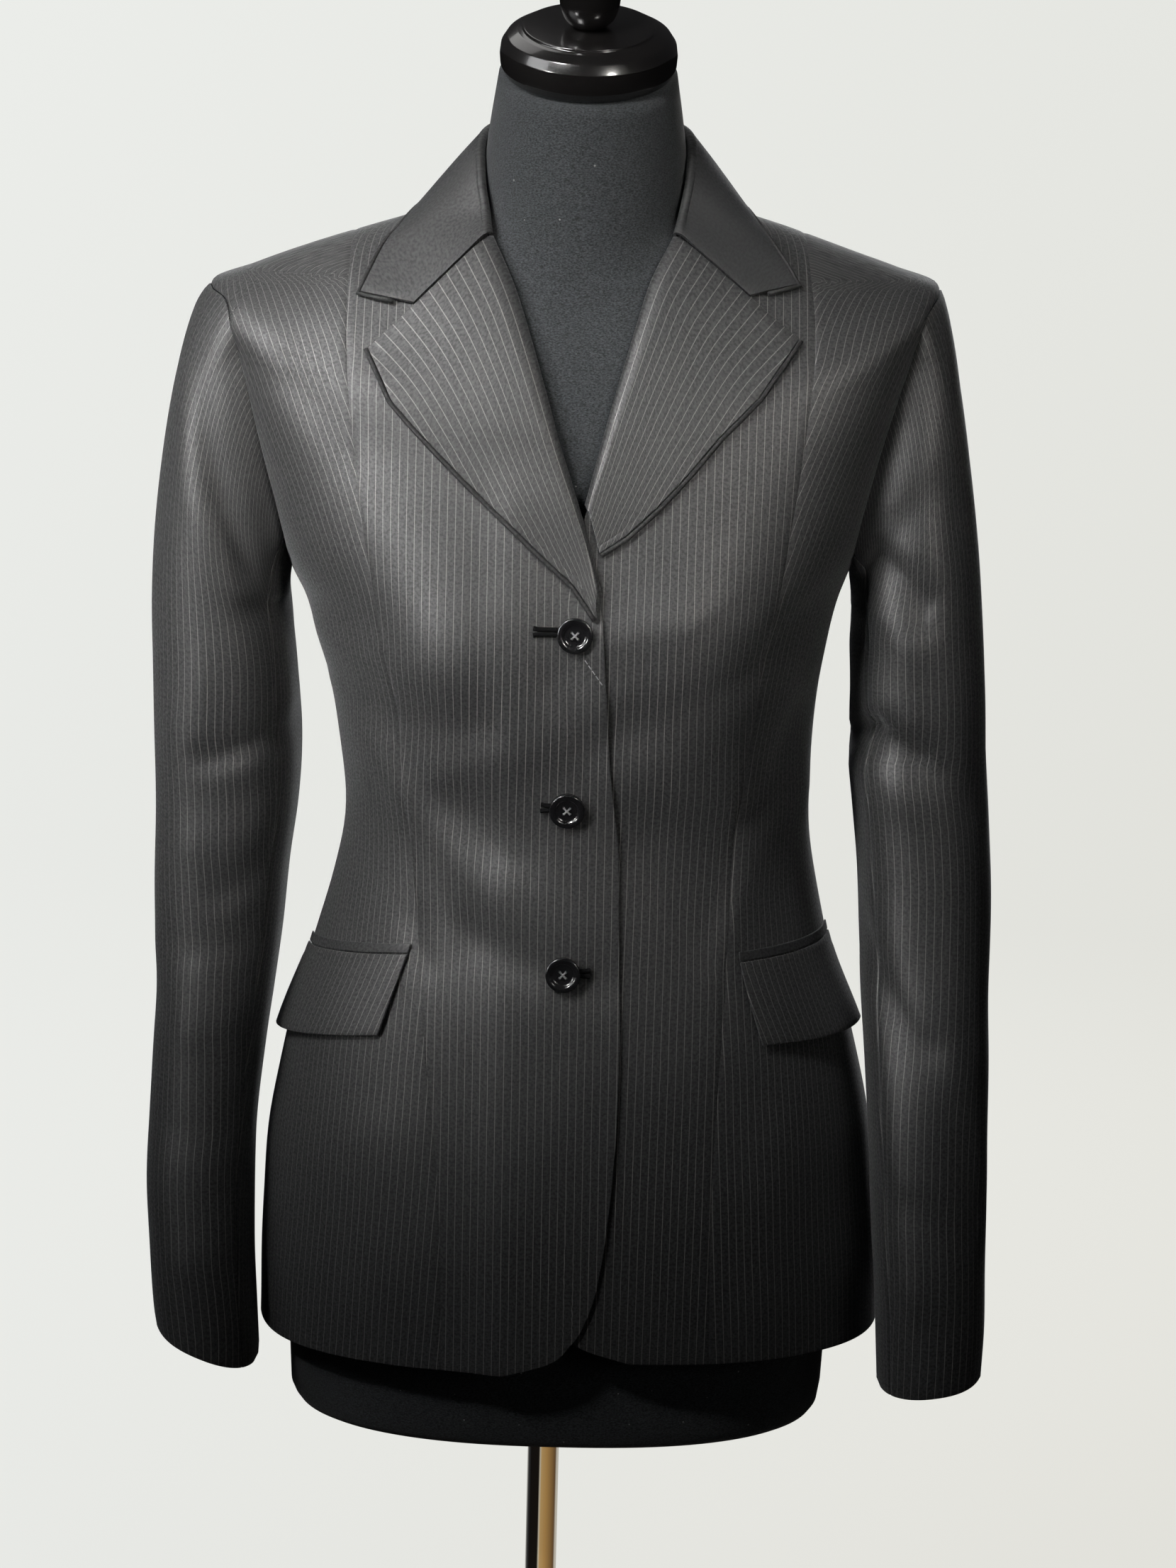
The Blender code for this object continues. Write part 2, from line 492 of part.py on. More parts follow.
def finish(piece, colour, roughness, metallic=0.0, coat_weight=0.0):
    material = bpy.data.materials.new(piece.name)
    material.use_nodes = True
    shader = material.node_tree.nodes["Principled BSDF"]
    shader.inputs["Base Color"].default_value = (*colour, 1)
    shader.inputs["Roughness"].default_value = roughness
    shader.inputs["Metallic"].default_value = metallic
    shader.inputs["Coat Weight"].default_value = coat_weight
    piece.data.materials.append(material)
    return piece


WORSTED = {"colour": (0.035, 0.036, 0.040), "roughness": 0.55}
DARK_CLOTH = {"colour": (0.018, 0.018, 0.020), "roughness": 0.60}
JERSEY = {"colour": (0.020, 0.021, 0.024), "roughness": 0.90}
LACQUER = {"colour": (0.010, 0.009, 0.009), "roughness": 0.18, "coat_weight": 0.5}
CHROME = {"colour": (0.80, 0.78, 0.75), "roughness": 0.12, "metallic": 1.0}
HORN = {"colour": (0.012, 0.012, 0.014), "roughness": 0.22}

part = bpy.data.collections.new("equestrian_show_coat")
bpy.context.scene.collection.children.link(part)
tools = bpy.data.collections.new("cutters")
bpy.context.scene.collection.children.link(tools)

SIDES = {"right": -1, "left": 1}        # the wearer's sides


# Body panels
def lap_lift(point):
    """How far the right front stands off the figure where it lies over the left front."""
    across = ramp(point[..., 0], LAP_FROM, LAP_TO)
    return LAP_OUT * across * (1 - ramp(point[..., 2], *LAP_TOP))


def hem_lift(angles, levels):
    """The left front and side front hang a little shorter towards the front edge."""
    share = np.clip(1 - angles / 84, 0, 1) * (angles > 0) + (angles <= 0)
    return LEFT_HEM_LIFT * share * (1 - ramp(levels, HEM, 0.66))


def make_panels(side, sign):
    column = 1 if sign < 0 else 2
    edge = front_edge(RIGHT_EDGE_ROWS if sign < 0 else LEFT_EDGE_ROWS, ROLL_STATION[side])
    princess = princess_stations(PRINCESS_ROWS, column, False, sign)
    princess_back = princess_stations(PRINCESS_BACK_ROWS, column, True, sign)
    side_front = side_stations(ARMHOLE_FRONT_ROWS, column, False, sign)
    side_back = side_stations(ARMHOLE_BACK_ROWS, column, True, sign)
    centre_back = back_edge(sign)
    plans = {
        f"front_{side}": (edge, princess, 9, ("end", "top")),
        f"side_front_{side}": (princess, side_front, 6, ("start", "end", "top")),
        f"side_back_{side}": (side_back, princess_back, 6, ("start", "end", "top")),
        f"back_{side}": (princess_back, centre_back, 7, ("start", "end", "top")),
    }
    for name, (start, end, columns, borders) in plans.items():
        plan = between(start, end, columns)
        angles, levels = plan[..., 0], plan[..., 1]
        if sign > 0 and "front" in name:
            levels = levels + hem_lift(angles, levels)
        lift = np.zeros(angles.shape)
        if name == "front_right":
            lift = lap_lift(figure(angles, levels))
        grid = drawn_in(coat(angles, levels, lift), borders)
        if sign < 0:
            grid = grid[:, ::-1]
        finish(shell(name, grid, CLOTH, part), **WORSTED)
    necks = np.concatenate([edge[-1 - NECK_STEPS:], centre_back[-2:-2 - NECK_STEPS:-1]])
    return edge, side_front, side_back, coat(necks[:, 0], necks[:, 1], folds=False)


# Sleeves
def sleeve_sections(rows):
    return {name: np.array([row[i] for row in rows]) for i, name in enumerate(SLEEVE_COLUMNS)}


def sleeve_folds(share, around):
    total = np.zeros(np.broadcast(share, around).shape)
    for middle, turn, slant, width, length, height in SLEEVE_FOLDS:
        swing = (around - turn + 180) % 360 - 180
        off = share - middle - swing / 360 * (slant / 1800)
        total = total + height * np.exp(-(off / width) ** 2 - (swing / length) ** 2)
    return total


def make_sleeve(side, sign, loop_front, loop_back):
    """The armhole's loop gives the first section; the table's sections follow down to the cuff."""
    section = sleeve_sections(RIGHT_SLEEVE_ROWS if sign < 0 else LEFT_SLEEVE_ROWS)
    armpit = len(LOWER_LEVELS) - 1
    front = loop_front[armpit:]
    back = loop_back[armpit + 1:-1][::-1]
    loop = np.concatenate([front, back])
    inner_x, outer_x = section["inner_x"] + CLOTH, section["outer_x"] - CLOTH
    inner = np.stack([inner_x * sign, section["middle_y"], section["inner_z"]], axis=1)
    outer = np.stack([outer_x * sign, section["middle_y"], section["outer_z"]], axis=1)
    middle, arm = (inner + outer) / 2, (outer - inner) / 2
    seam = figure(loop[:, 0], loop[:, 1])
    toward = outer[0] - inner[0]
    toward /= np.linalg.norm(toward)
    flat = np.stack([(seam - middle[0]) @ toward, -(seam - middle[0])[:, 1]], axis=1)
    around = np.degrees(np.arctan2(flat[:, 1] / section["half_depth"][0],
                                   flat[:, 0] / np.linalg.norm(arm[0])))
    turn = np.radians(around)
    root = 2 / SLEEVE_POWER
    cosine = np.sign(np.cos(turn)) * np.abs(np.cos(turn)) ** root
    sine = np.sign(np.sin(turn)) * np.abs(np.sin(turn)) ** root
    rings = (middle[:, None] + arm[:, None] * cosine[None, :, None]
             + section["half_depth"][:, None, None] * sine[None, :, None] * np.array([0, -1, 0]))
    # The armhole's outline, stood off the body a little, and most in the armpit
    low = np.clip(1 - (seam[:, 2] - seam[:, 2].min()) / 0.040, 0, 1)
    sideways = np.abs(outward(loop[:, 0], loop[:, 1])[:, 0])
    stand_off = SLEEVE_STAND + CLOTH * np.maximum(sideways, 0.7) + UNDERARM_ROOM * low ** 1.2
    stood = seam + np.array([sign, 0, 0]) * stand_off[:, None]
    pull = stood - rings[0]
    for index, (fade, times) in enumerate(zip(LOOP_FADE, LOOP_SOFTENING)):
        evened = pull
        for _ in range(times):
            evened = evened / 2 + (np.roll(evened, 1, axis=0) + np.roll(evened, -1, axis=0)) / 4
        rings[index] += evened * fade
    along = np.concatenate([[0], np.cumsum(np.linalg.norm(np.diff(middle, axis=0), axis=1))])
    share = (along / along[-1])[:, None]
    axis = rings - middle[:, None]
    axis /= np.linalg.norm(axis, axis=-1, keepdims=True)
    depth = sleeve_folds(share, around[None, :]) * ramp(share, 0.02, 0.10)
    rings = rings + axis * depth[..., None]
    if sign > 0:
        rings = rings[:, ::-1]
    return rings


def split_sleeve(side, sign, rings):
    """Cuts the tube along its two seams into the top sleeve and the under sleeve."""
    around = rings.shape[1]
    front_seam, back_seam = SLEEVE_SEAM_FRONT, around - SLEEVE_SEAM_BACK
    if sign > 0:
        front_seam, back_seam = around - 1 - front_seam, around - 1 - back_seam
    order = sorted((front_seam, back_seam))
    middle = np.arange(order[0], order[1] + 1)
    rest = np.concatenate([np.arange(order[1], around), np.arange(0, order[0] + 1)])
    for name, picked in ((f"top_sleeve_{side}", middle), (f"under_sleeve_{side}", rest)):
        grid = drawn_in(rings[:, picked], ("start", "end"), SLEEVE_SEAM)
        finish(shell(name, grid, CLOTH, part), **WORSTED)


edges, necklines = {}, {}
for side, sign in SIDES.items():
    edges[side], side_front, side_back, necklines[side] = make_panels(side, sign)
    split_sleeve(side, sign, make_sleeve(side, sign, side_front, side_back))


# Dress form
def make_form():
    levels = np.array(FORM_LEVELS)
    angles = np.arange(FORM_AROUND) * 360 / FORM_AROUND
    starts, full, ends, gone = RIDGE_LEVELS
    ridge = np.abs(np.sin(np.radians(angles)))[None, :] ** RIDGE_SHARPNESS
    ridge = ridge * (ramp(levels, starts, full) * (1 - ramp(levels, ends, gone)))[:, None]
    ease = ring("ease", levels)[:, None] * (1 - ridge) + RIDGE_EASE * ridge
    grid = coat(angles[None, :], levels[:, None], -ease, folds=False)
    askew = ring("centre", levels) * (1 - ramp(levels, *UPRIGHT_LEVELS))
    grid[..., 0] -= askew[:, None]
    middle = np.array(FORM_MIDDLE)
    inset = (grid[0] - middle) * np.array([*FORM_UNDERSIDE, 0]) + middle
    hollow = middle + np.array([0, 0, FORM_HOLLOW])
    pole_hole = (grid[0] - middle) * np.array([POLE_SEAT, POLE_SEAT, 0]) + hollow
    lower = [pole_hole, inset]
    turn = np.radians(angles)
    upper = []
    for height, radius, y, tilt in NECK_ROWS:
        deep = -np.cos(turn) * radius
        rise = deep * math.tan(math.radians(tilt))
        upper.append(np.stack([np.sin(turn) * radius, y + deep, height + rise], axis=1))
    crown = upper[-1] * FORM_CROWN + upper[-1].mean(axis=0) * (1 - FORM_CROWN)
    rings = np.concatenate([lower, grid, upper, [crown]])
    finish(close_ends(shell("dress_form", rings, 0, part, closed_columns=True)), **JERSEY)


make_form()


# Lapels
def lies_on_front(side, x, z, height):
    """A point over the front that is seen at x, z, at a height over the figure."""
    angle, level = place(x, z)
    point = coat(angle, level, height)
    if side == "right":
        point = coat(angle, level, height + float(lap_lift(point)))
    return point


def make_lapel(side, sign, edge, outer_rows):
    """The lapel turns over at the front's own edge, station by station, from the break to the gorge."""
    last = len(edge) - NECK_STEPS
    grid = []
    for (angle, level), outer in zip(edge[last - len(outer_rows):last], outer_rows):
        roll, outer = figure(angle, level)[[0, 2]], np.array(outer)
        width = np.linalg.norm(outer - roll)
        section = [(distance / width, height) for distance, height in LAPEL_ROLL] + list(LAPEL_SPREAD)
        line = []
        for share, height in section:
            x, z = roll + (outer - roll) * share
            line.append(lies_on_front(side, x, z, height))
        grid.append(line)
    grid = np.array(grid)[::-1]
    finish(shell(f"lapel_{side}", grid if sign < 0 else grid[:, ::-1], COLLAR_CLOTH, part), **WORSTED)
    return grid


lapels = {"right": make_lapel("right", -1, edges["right"], RIGHT_LAPEL_EDGE),
          "left": make_lapel("left", 1, edges["left"], LEFT_LAPEL_EDGE)}


# Collar
def collar_foot(side, round_angle):
    """A point just above the neckline's edge, at an angle round the neck."""
    points = necklines[side]
    turn = np.degrees(np.arctan2(np.abs(points[:, 0]), -points[:, 1]))
    foot = np.array([np.interp(round_angle, turn, points[:, axis]) for axis in range(3)])
    return foot + np.array([0, 0, COLLAR_FOOT])


def collar_row(side, sign, foot_angle, fold, angle, level, lie):
    """One section of the collar: up the stand from the neckline, over the fold, down to the leaf's edge."""
    foot = collar_foot(side, foot_angle)
    fold = np.array(fold)
    edge = coat(angle * sign, level, lie, folds=False)
    away = edge - fold
    away[2] = 0
    away /= np.linalg.norm(away)
    over, down = (fold + away * out + np.array([0, 0, up]) for out, up in COLLAR_ROLL)
    line = [foot, (foot + fold) / 2, fold, over, down]
    crown = np.array([0, 0, 1.0]) + away
    for part_way in COLLAR_SPREAD:
        line.append(down + (edge - down) * part_way + crown * COLLAR_BELLY * math.sin(math.pi * part_way))
    return line + [edge]


def gorge_row(side, points):
    """The collar's front end, which lies along the gorge seam and ends in the collar's point."""
    first, notch, tip = (np.array(point) for point in points)
    foot = necklines[side][0] + np.array([0, 0, COLLAR_FOOT * 2])
    head = lies_on_front(side, *first, COLLAR_LIE[0])
    line = [foot, (foot + head) / 2, head]
    for share, height in zip(GORGE_SPREAD, COLLAR_LIE[1:]):
        line.append(lies_on_front(side, *(first + (notch - first) * share), height))
    line.append(lies_on_front(side, *notch, COLLAR_LIE[-1]))
    line.append(lies_on_front(side, *tip, COLLAR_LIE[-1]))
    return line


def make_collar():
    grid = []
    for side, sign in SIDES.items():
        half = [gorge_row(side, GORGE[side])]
        for foot_angle, x, y, z, angle, level, lie in COLLAR_ROWS:
            fold = (x * sign, y, z + LEAN * x * sign)
            half.append(collar_row(side, sign, foot_angle, fold, angle, level, lie))
        grid += half if sign < 0 else half[-2::-1]
    grid = np.array(grid)
    finish(shell("collar", grid[:, ::-1], COLLAR_CLOTH, part), **DARK_CLOTH)
    return grid


collar = make_collar()


# Piping
def piping(name, edge, inside):
    """A round cord along the edge of a sheet; inside lists a point of the sheet beside each edge point."""
    edge, inside = np.array(edge), np.array(inside)
    steps = np.diff(edge, axis=0)
    steps /= np.linalg.norm(steps, axis=1, keepdims=True)
    before, after = np.concatenate([steps[:1], steps]), np.concatenate([steps, steps[-1:]])
    along = before + after
    along /= np.linalg.norm(along, axis=1, keepdims=True)
    away = edge - inside
    away -= along * np.sum(away * along, axis=1, keepdims=True)
    away /= np.linalg.norm(away, axis=1, keepdims=True)
    away /= np.sqrt((1 + np.sum(before * after, axis=1, keepdims=True)) / 2)
    normal = np.cross(along, away)
    normal /= np.linalg.norm(normal, axis=1, keepdims=True)
    spine = edge * np.array([0, 0, 1]) - np.array([0, 0, 0.06])
    normal *= np.sign(np.sum(normal * (edge - spine), axis=1, keepdims=True))
    centre = edge + away * (PIPING_RADIUS + SEAM) + normal * COLLAR_CLOTH / 2
    turn = np.arange(PIPING_SIDES) * 2 * math.pi / PIPING_SIDES
    rings = centre[:, None] + PIPING_RADIUS * (
        np.cos(turn)[None, :, None] * away[:, None] + np.sin(turn)[None, :, None] * normal[:, None])
    finish(close_ends(shell(name, rings, 0, part, closed_columns=True)), **DARK_CLOTH)


for side, lapel in lapels.items():
    piping(f"piping_lapel_{side}", lapel[:, -1], lapel[:, -2])
ends = [row[-2] * (1 - NOTCH_CLEAR) + row[-1] * NOTCH_CLEAR for row in (collar[0], collar[-1])]
piping("piping_collar", [ends[0], *collar[:, -1], ends[1]],
       [collar[1, -3], collar[1, -2], *collar[1:-1, -2], collar[-2, -2], collar[-2, -3]])


# Pockets: a welt and a flap on each side
def pocket_grid(side, sign, columns, rows, top_lift, bottom_lift, out, stand):
    """Points over the side front between the flap's four corners, stretched or cut in height."""
    flap = FLAPS[side]
    inner_top, inner_bottom = place(*flap["top"]), place(*flap["bottom"])
    corners = np.array([inner_top, flap["outer_top"], inner_bottom, flap["outer_bottom"]])
    u = np.linspace(0, 1, columns + 1)[None, :, None]
    v = np.linspace(0, 1, rows + 1)[:, None, None]
    top = corners[0] * (1 - u) + corners[1] * u + np.array([0, top_lift])
    bottom = corners[2] * (1 - u) + corners[3] * u + np.array([0, bottom_lift])
    if rows == 1:
        bottom = corners[0] * (1 - u) + corners[1] * u + np.array([0, bottom_lift])
    plan = top * (1 - v) + bottom * v
    height = out + stand * (v * (FLAP_INNER_STAND + (1 - FLAP_INNER_STAND) * u))[..., 0]
    grid = coat(plan[..., 0], plan[..., 1], height)
    return grid if sign < 0 else grid[:, ::-1]


for side, sign in SIDES.items():
    flap = pocket_grid(side, sign, 7, 3, 0.0, 0.0, FLAP_OUT, FLAP_STAND)
    finish(shell(f"flap_{side}", flap, CLOTH, part), **WORSTED)
    welt = pocket_grid(side, sign, 7, 1, WELT_HEIGHT + SEAM * 2, SEAM * 2, FLAP_OUT, 0.0)
    finish(shell(f"welt_{side}", welt, WELT_CLOTH, part), **DARK_CLOTH)


# Turned pieces
def turned(name, profile, steps, collection):
    """A profile of radius and height, listed from the top down the outer side, turned about Z."""
    mesh = bpy.data.meshes.new(name)
    mesh.from_pydata([(r, 0, h) for r, h in profile], [(i, i + 1) for i in range(len(profile) - 1)], [])
    piece = bpy.data.objects.new(name, mesh)
    collection.objects.link(piece)
    screw = piece.modifiers.new("Turn", "SCREW")
    screw.steps = screw.render_steps = steps
    screw.use_merge_vertices = True
    screw.merge_threshold = 0.00005
    screw.use_smooth_shade = True
    return piece


def make_button_mesh():
    """A four-hole button with a raised rim, its back at the origin."""
    profile = [(r * BUTTON_RADIUS, h * BUTTON_THICK) for r, h in BUTTON_PROFILE]
    blank = turned("button_blank", profile, 20, tools)
    needle = bmesh.new()
    radius, out = HOLE_RADIUS * BUTTON_RADIUS, HOLE_PLACE * BUTTON_RADIUS
    for turn in range(4):
        corner = math.radians(45 + 90 * turn)
        spot = Matrix.Translation((math.cos(corner) * out, math.sin(corner) * out, BUTTON_THICK / 2))
        bmesh.ops.create_cone(needle, cap_ends=True, segments=6, radius1=radius, radius2=radius,
                              depth=BUTTON_THICK * 2, matrix=spot)
    holes_mesh = bpy.data.meshes.new("button_holes")
    needle.to_mesh(holes_mesh)
    needle.free()
    holes = bpy.data.objects.new("button_holes", holes_mesh)
    tools.objects.link(holes)
    cut = blank.modifiers.new("Holes", "BOOLEAN")
    cut.operation = "DIFFERENCE"
    cut.object = holes
    bpy.context.view_layer.update()
    graph = bpy.context.evaluated_depsgraph_get()
    mesh = bpy.data.meshes.new_from_object(blank.evaluated_get(graph))
    mesh.name = "button"
    mesh.shade_smooth()
    mesh.set_sharp_from_angle(angle=math.radians(40))
    for helper in (blank, holes):
        bpy.data.objects.remove(helper, do_unlink=True)
    return mesh


button_mesh = make_button_mesh()
for number, (x, z) in enumerate(BUTTONS, start=1):
    angle, level = place(x, z)
    seat = lies_on_front("right", x, z, CLOTH + SEAM * 2)
    button = bpy.data.objects.new(f"button_{number}", button_mesh.copy())
    part.objects.link(button)
    button.location = seat
    button.rotation_euler = Vector(outward(angle, level)).to_track_quat("Z", "Y").to_euler()
    finish(button, **HORN)

# Profiles of the turned pieces of the stand: radius and height
CAP_PROFILE = (
    (0, 0.0270), (0.0360, 0.0270), (0.0364, 0.0254), (0.0385, 0.0252), (0.0440, 0.0226),
    (0.0478, 0.0175), (0.0485, 0.0120), (0.0465, 0.0055), (0.0430, 0.0), (0, 0),
)
FINIAL_PROFILE = (
    (0, 0.0360), (0.0070, 0.0345), (0.0128, 0.0300), (0.0163, 0.0230), (0.0168, 0.0165),
    (0.0161, 0.0100), (0.0140, 0.0046), (0.0108, 0.0014), (0.0098, 0.0), (0, 0),
)
neck_top = Vector((0, NECK_ROWS[-1][2], NECK_ROWS[-1][0] + SEAM))
cap = turned("neck_cap", CAP_PROFILE, 32, part)
ball = turned("finial", FINIAL_PROFILE, 24, part)
cap.location = neck_top
cap.rotation_euler = (CAP_TILT, 0, 0)
cap_top = Vector((0, 0, CAP_PROFILE[0][1] + SEAM))
ball.location = neck_top + Matrix.Rotation(CAP_TILT, 3, "X") @ cap_top
ball.rotation_euler = (CAP_TILT, 0, 0)
finish(cap, **LACQUER)
finish(ball, **LACQUER)

BOSS_HEIGHT = 0.045
FOOT_PROFILE = (
    (0, BOSS_HEIGHT), (0.0190, BOSS_HEIGHT), (0.0215, 0.0420), (0.0225, 0.0240), (0.0300, 0.0180),
    (0.0990, 0.0140), (0.1535, 0.0100), (0.1635, 0.0060), (FOOT_RADIUS, 0.0030), (0.1640, 0), (0, 0),
)
pole_top, pole_bottom = FORM_BOTTOM + FORM_HOLLOW - SEAM, BOSS_HEIGHT + SEAM
pole_profile = ((0, pole_top), (POLE_RADIUS, pole_top), (POLE_RADIUS, pole_bottom), (0, pole_bottom))
foot = turned("foot", FOOT_PROFILE, 40, part)
pole = turned("pole", pole_profile, 24, part)
finish(foot, **CHROME)
finish(pole, **CHROME)

for piece in part.objects:
    if piece.name not in ("pole", "foot"):
        piece.location.x += POLE_ASIDE
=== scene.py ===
import math

import bmesh
import bpy
import numpy as np
from mathutils import Matrix, Vector


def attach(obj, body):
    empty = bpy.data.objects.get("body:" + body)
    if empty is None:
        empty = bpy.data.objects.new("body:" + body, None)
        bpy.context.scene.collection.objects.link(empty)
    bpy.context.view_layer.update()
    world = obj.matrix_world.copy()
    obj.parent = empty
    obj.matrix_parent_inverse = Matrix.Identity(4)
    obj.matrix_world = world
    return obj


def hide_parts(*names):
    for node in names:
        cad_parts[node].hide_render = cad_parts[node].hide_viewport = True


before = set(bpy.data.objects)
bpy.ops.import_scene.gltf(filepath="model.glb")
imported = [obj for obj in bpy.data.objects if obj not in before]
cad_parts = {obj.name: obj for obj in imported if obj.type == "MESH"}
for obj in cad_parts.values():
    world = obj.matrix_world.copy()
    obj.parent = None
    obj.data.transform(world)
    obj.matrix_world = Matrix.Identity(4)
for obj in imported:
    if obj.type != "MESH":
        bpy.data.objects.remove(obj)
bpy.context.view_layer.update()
bpy.ops.object.select_all(action="DESELECT")

# The coat's body: eight panels of fine striped worsted, cut with princess seams to a woman's figure and
# sewn edge to edge. The surface is worked out ring by ring, as in the solids, and the panels are cut
# from it along their seams; the folds come from the closing buttons, the arms and the hips.
POLE_ASIDE = 0.0064
CLOTH = 0.0015
HEM, ARMPIT = 0.530, 0.975
PRINCESS_TOP, TIP_LEVEL, NECK_LEVEL = 1.0945, 1.060, 1.128
LEAN = 0.018
RING_COLUMNS = ("level", "side_rise", "back_rise", "centre", "half", "front", "back", "power", "ease")
RING_ROWS = (
    (0.470, 0.000, 0.000, 0.0065, 0.1805, 0.1210, 0.1310, 2.40, 0.0240),
    (0.530, 0.000, 0.000, 0.0065, 0.1805, 0.1220, 0.1310, 2.40, 0.0215),
    (0.600, 0.000, 0.000, 0.0055, 0.1780, 0.1225, 0.1305, 2.38, 0.0160),
    (0.652, 0.000, 0.000, 0.0040, 0.1725, 0.1210, 0.1285, 2.34, 0.0110),
    (0.700, 0.000, 0.000, 0.0030, 0.1625, 0.1170, 0.1230, 2.30, 0.0065),
    (0.750, 0.000, 0.000, 0.0025, 0.1480, 0.1115, 0.1120, 2.24, 0.0045),
    (0.791, 0.000, 0.000, 0.0035, 0.1375, 0.1070, 0.1030, 2.20, 0.0040),
    (0.832, 0.000, 0.000, 0.0040, 0.1315, 0.1050, 0.0985, 2.20, 0.0040),
    (0.883, 0.000, 0.000, 0.0020, 0.1340, 0.1090, 0.1005, 2.24, 0.0038),
    (0.924, 0.000, 0.000, 0.0000, 0.1405, 0.1135, 0.1045, 2.34, 0.0038),
    (0.955, 0.000, 0.000, -0.0015, 0.1488, 0.1130, 0.1085, 2.50, 0.0038),
    (0.975, 0.000, 0.001, -0.0030, 0.1570, 0.1110, 0.1110, 2.64, 0.0045),
    (1.000, 0.020, 0.008, -0.0040, 0.1700, 0.1075, 0.1135, 2.70, 0.0060),
    (1.025, 0.042, 0.018, -0.0045, 0.1840, 0.1030, 0.1140, 2.60, 0.0065),
    (1.045, 0.057, 0.028, -0.0045, 0.1960, 0.0985, 0.1115, 2.45, 0.0070),
    (1.060, 0.0675, 0.037, -0.0045, 0.2025, 0.0945, 0.1075, 2.30, 0.0070),
    (1.072, 0.0662, 0.043, -0.0040, 0.1770, 0.0900, 0.1010, 2.24, 0.0055),
    (1.084, 0.0643, 0.048, -0.0035, 0.1490, 0.0850, 0.0930, 2.20, 0.0045),
    (1.098, 0.0607, 0.053, -0.0025, 0.1170, 0.0790, 0.0830, 2.16, 0.0042),
    (1.112, 0.0550, 0.058, -0.0015, 0.0890, 0.0720, 0.0720, 2.10, 0.0045),
    (1.128, 0.048, 0.062, -0.0005, 0.0660, 0.0640, 0.0620, 2.05, 0.0050),
    (1.140, 0.043, 0.064, 0.0000, 0.0590, 0.0600, 0.0580, 2.00, 0.0050),
)
RINGS = {name: np.array([row[i] for row in RING_ROWS]) for i, name in enumerate(RING_COLUMNS)}
BUST = {"x": 0.076, "level": 0.928, "out": 0.0135, "across": 0.046, "up": 0.062}

# Seams and edges as seen from the front: height, then x on the wearer's right and left
PRINCESS_ROWS = (
    (1.1000, -0.1265, 0.1265), (1.0640, -0.1230, 0.1230), (1.0330, -0.1190, 0.1195),
    (1.0010, -0.1140, 0.1150), (0.9670, -0.1080, 0.1095), (0.9000, -0.0960, 0.0990),
    (0.8400, -0.0870, 0.0910), (0.7690, -0.0820, 0.0890), (0.6200, -0.0665, 0.0845),
    (0.5300, -0.0640, 0.0865),
)
PRINCESS_BACK_ROWS = (
    (1.1000, -0.1150, 0.1150), (1.0500, -0.1050, 0.1050), (1.0000, -0.0960, 0.0960),
    (0.9300, -0.0820, 0.0840), (0.8400, -0.0660, 0.0720), (0.7500, -0.0700, 0.0760),
    (0.6200, -0.0820, 0.0910), (0.5300, -0.0860, 0.0970),
)
ARMHOLE_FRONT_ROWS = (
    (0.9790, -0.1606, 0.1526), (0.9870, -0.1613, 0.1529), (1.0010, -0.1642, 0.1552),
    (1.0180, -0.1685, 0.1592), (1.0420, -0.1740, 0.1650), (1.0670, -0.1800, 0.1718),
    (1.0890, -0.1860, 0.1785), (1.1060, -0.1908, 0.1833), (1.1185, -0.1952, 0.1878),
)
ARMHOLE_BACK_ROWS = (
    (0.9800, -0.1607, 0.1526), (0.9890, -0.1616, 0.1530), (1.0040, -0.1649, 0.1557),
    (1.0240, -0.1697, 0.1600), (1.0470, -0.1742, 0.1648), (1.0700, -0.1785, 0.1702),
    (1.0910, -0.1837, 0.1763), (1.1070, -0.1893, 0.1818), (1.1185, -0.1943, 0.1868),
)
RIGHT_EDGE_ROWS = (
    (0.5300, -0.0290), (0.5375, -0.0050), (0.5490, 0.0080), (0.5680, 0.0180), (0.5950, 0.0240),
    (0.6310, 0.0280), (0.7180, 0.0310), (0.7920, 0.0285), (0.8320, 0.0270), (0.8710, 0.0225),
    (0.9300, 0.0180), (0.9580, 0.0158), (0.9850, 0.0100), (1.0100, 0.0020), (1.0510, -0.0120),
    (1.0920, -0.0250), (1.1250, -0.0365), (1.1550, -0.0500),
)
LEFT_EDGE_ROWS = (
    (0.5300, 0.0410), (0.5375, 0.0160), (0.5490, 0.0030), (0.5680, -0.0080), (0.5950, -0.0145),
    (0.6310, -0.0175), (0.7180, -0.0190), (0.7920, -0.0195), (0.8320, -0.0200), (0.8710, -0.0205),
    (0.9300, -0.0200), (0.9580, -0.0165), (0.9850, -0.0060), (1.0100, 0.0035), (1.0610, 0.0170),
    (1.0990, 0.0280), (1.1360, 0.0395), (1.1580, 0.0490),
)
ROLL_STATION = {"right": 1.0005, "left": 1.0185}
LAP_OUT, LAP_FROM, LAP_TO, LAP_TOP = 0.0024, -0.052, -0.030, (1.015, 1.050)
LEFT_HEM_LIFT = 0.009
LOWER_LEVELS = (
    0.5300, 0.5375, 0.5490, 0.5680, 0.5950, 0.6310, 0.6650, 0.7000, 0.7320, 0.7620,
    0.7920, 0.8200, 0.8480, 0.8740, 0.9020, 0.9300, 0.9540, 0.9750,
)
UPPER_STEPS, ROLL_STEPS, RIDGE_CROWDING = 10, 7, 1.8
FINE = 4                # rows of the mesh to one station of a seam
SIDES = {"right": -1, "left": 1}

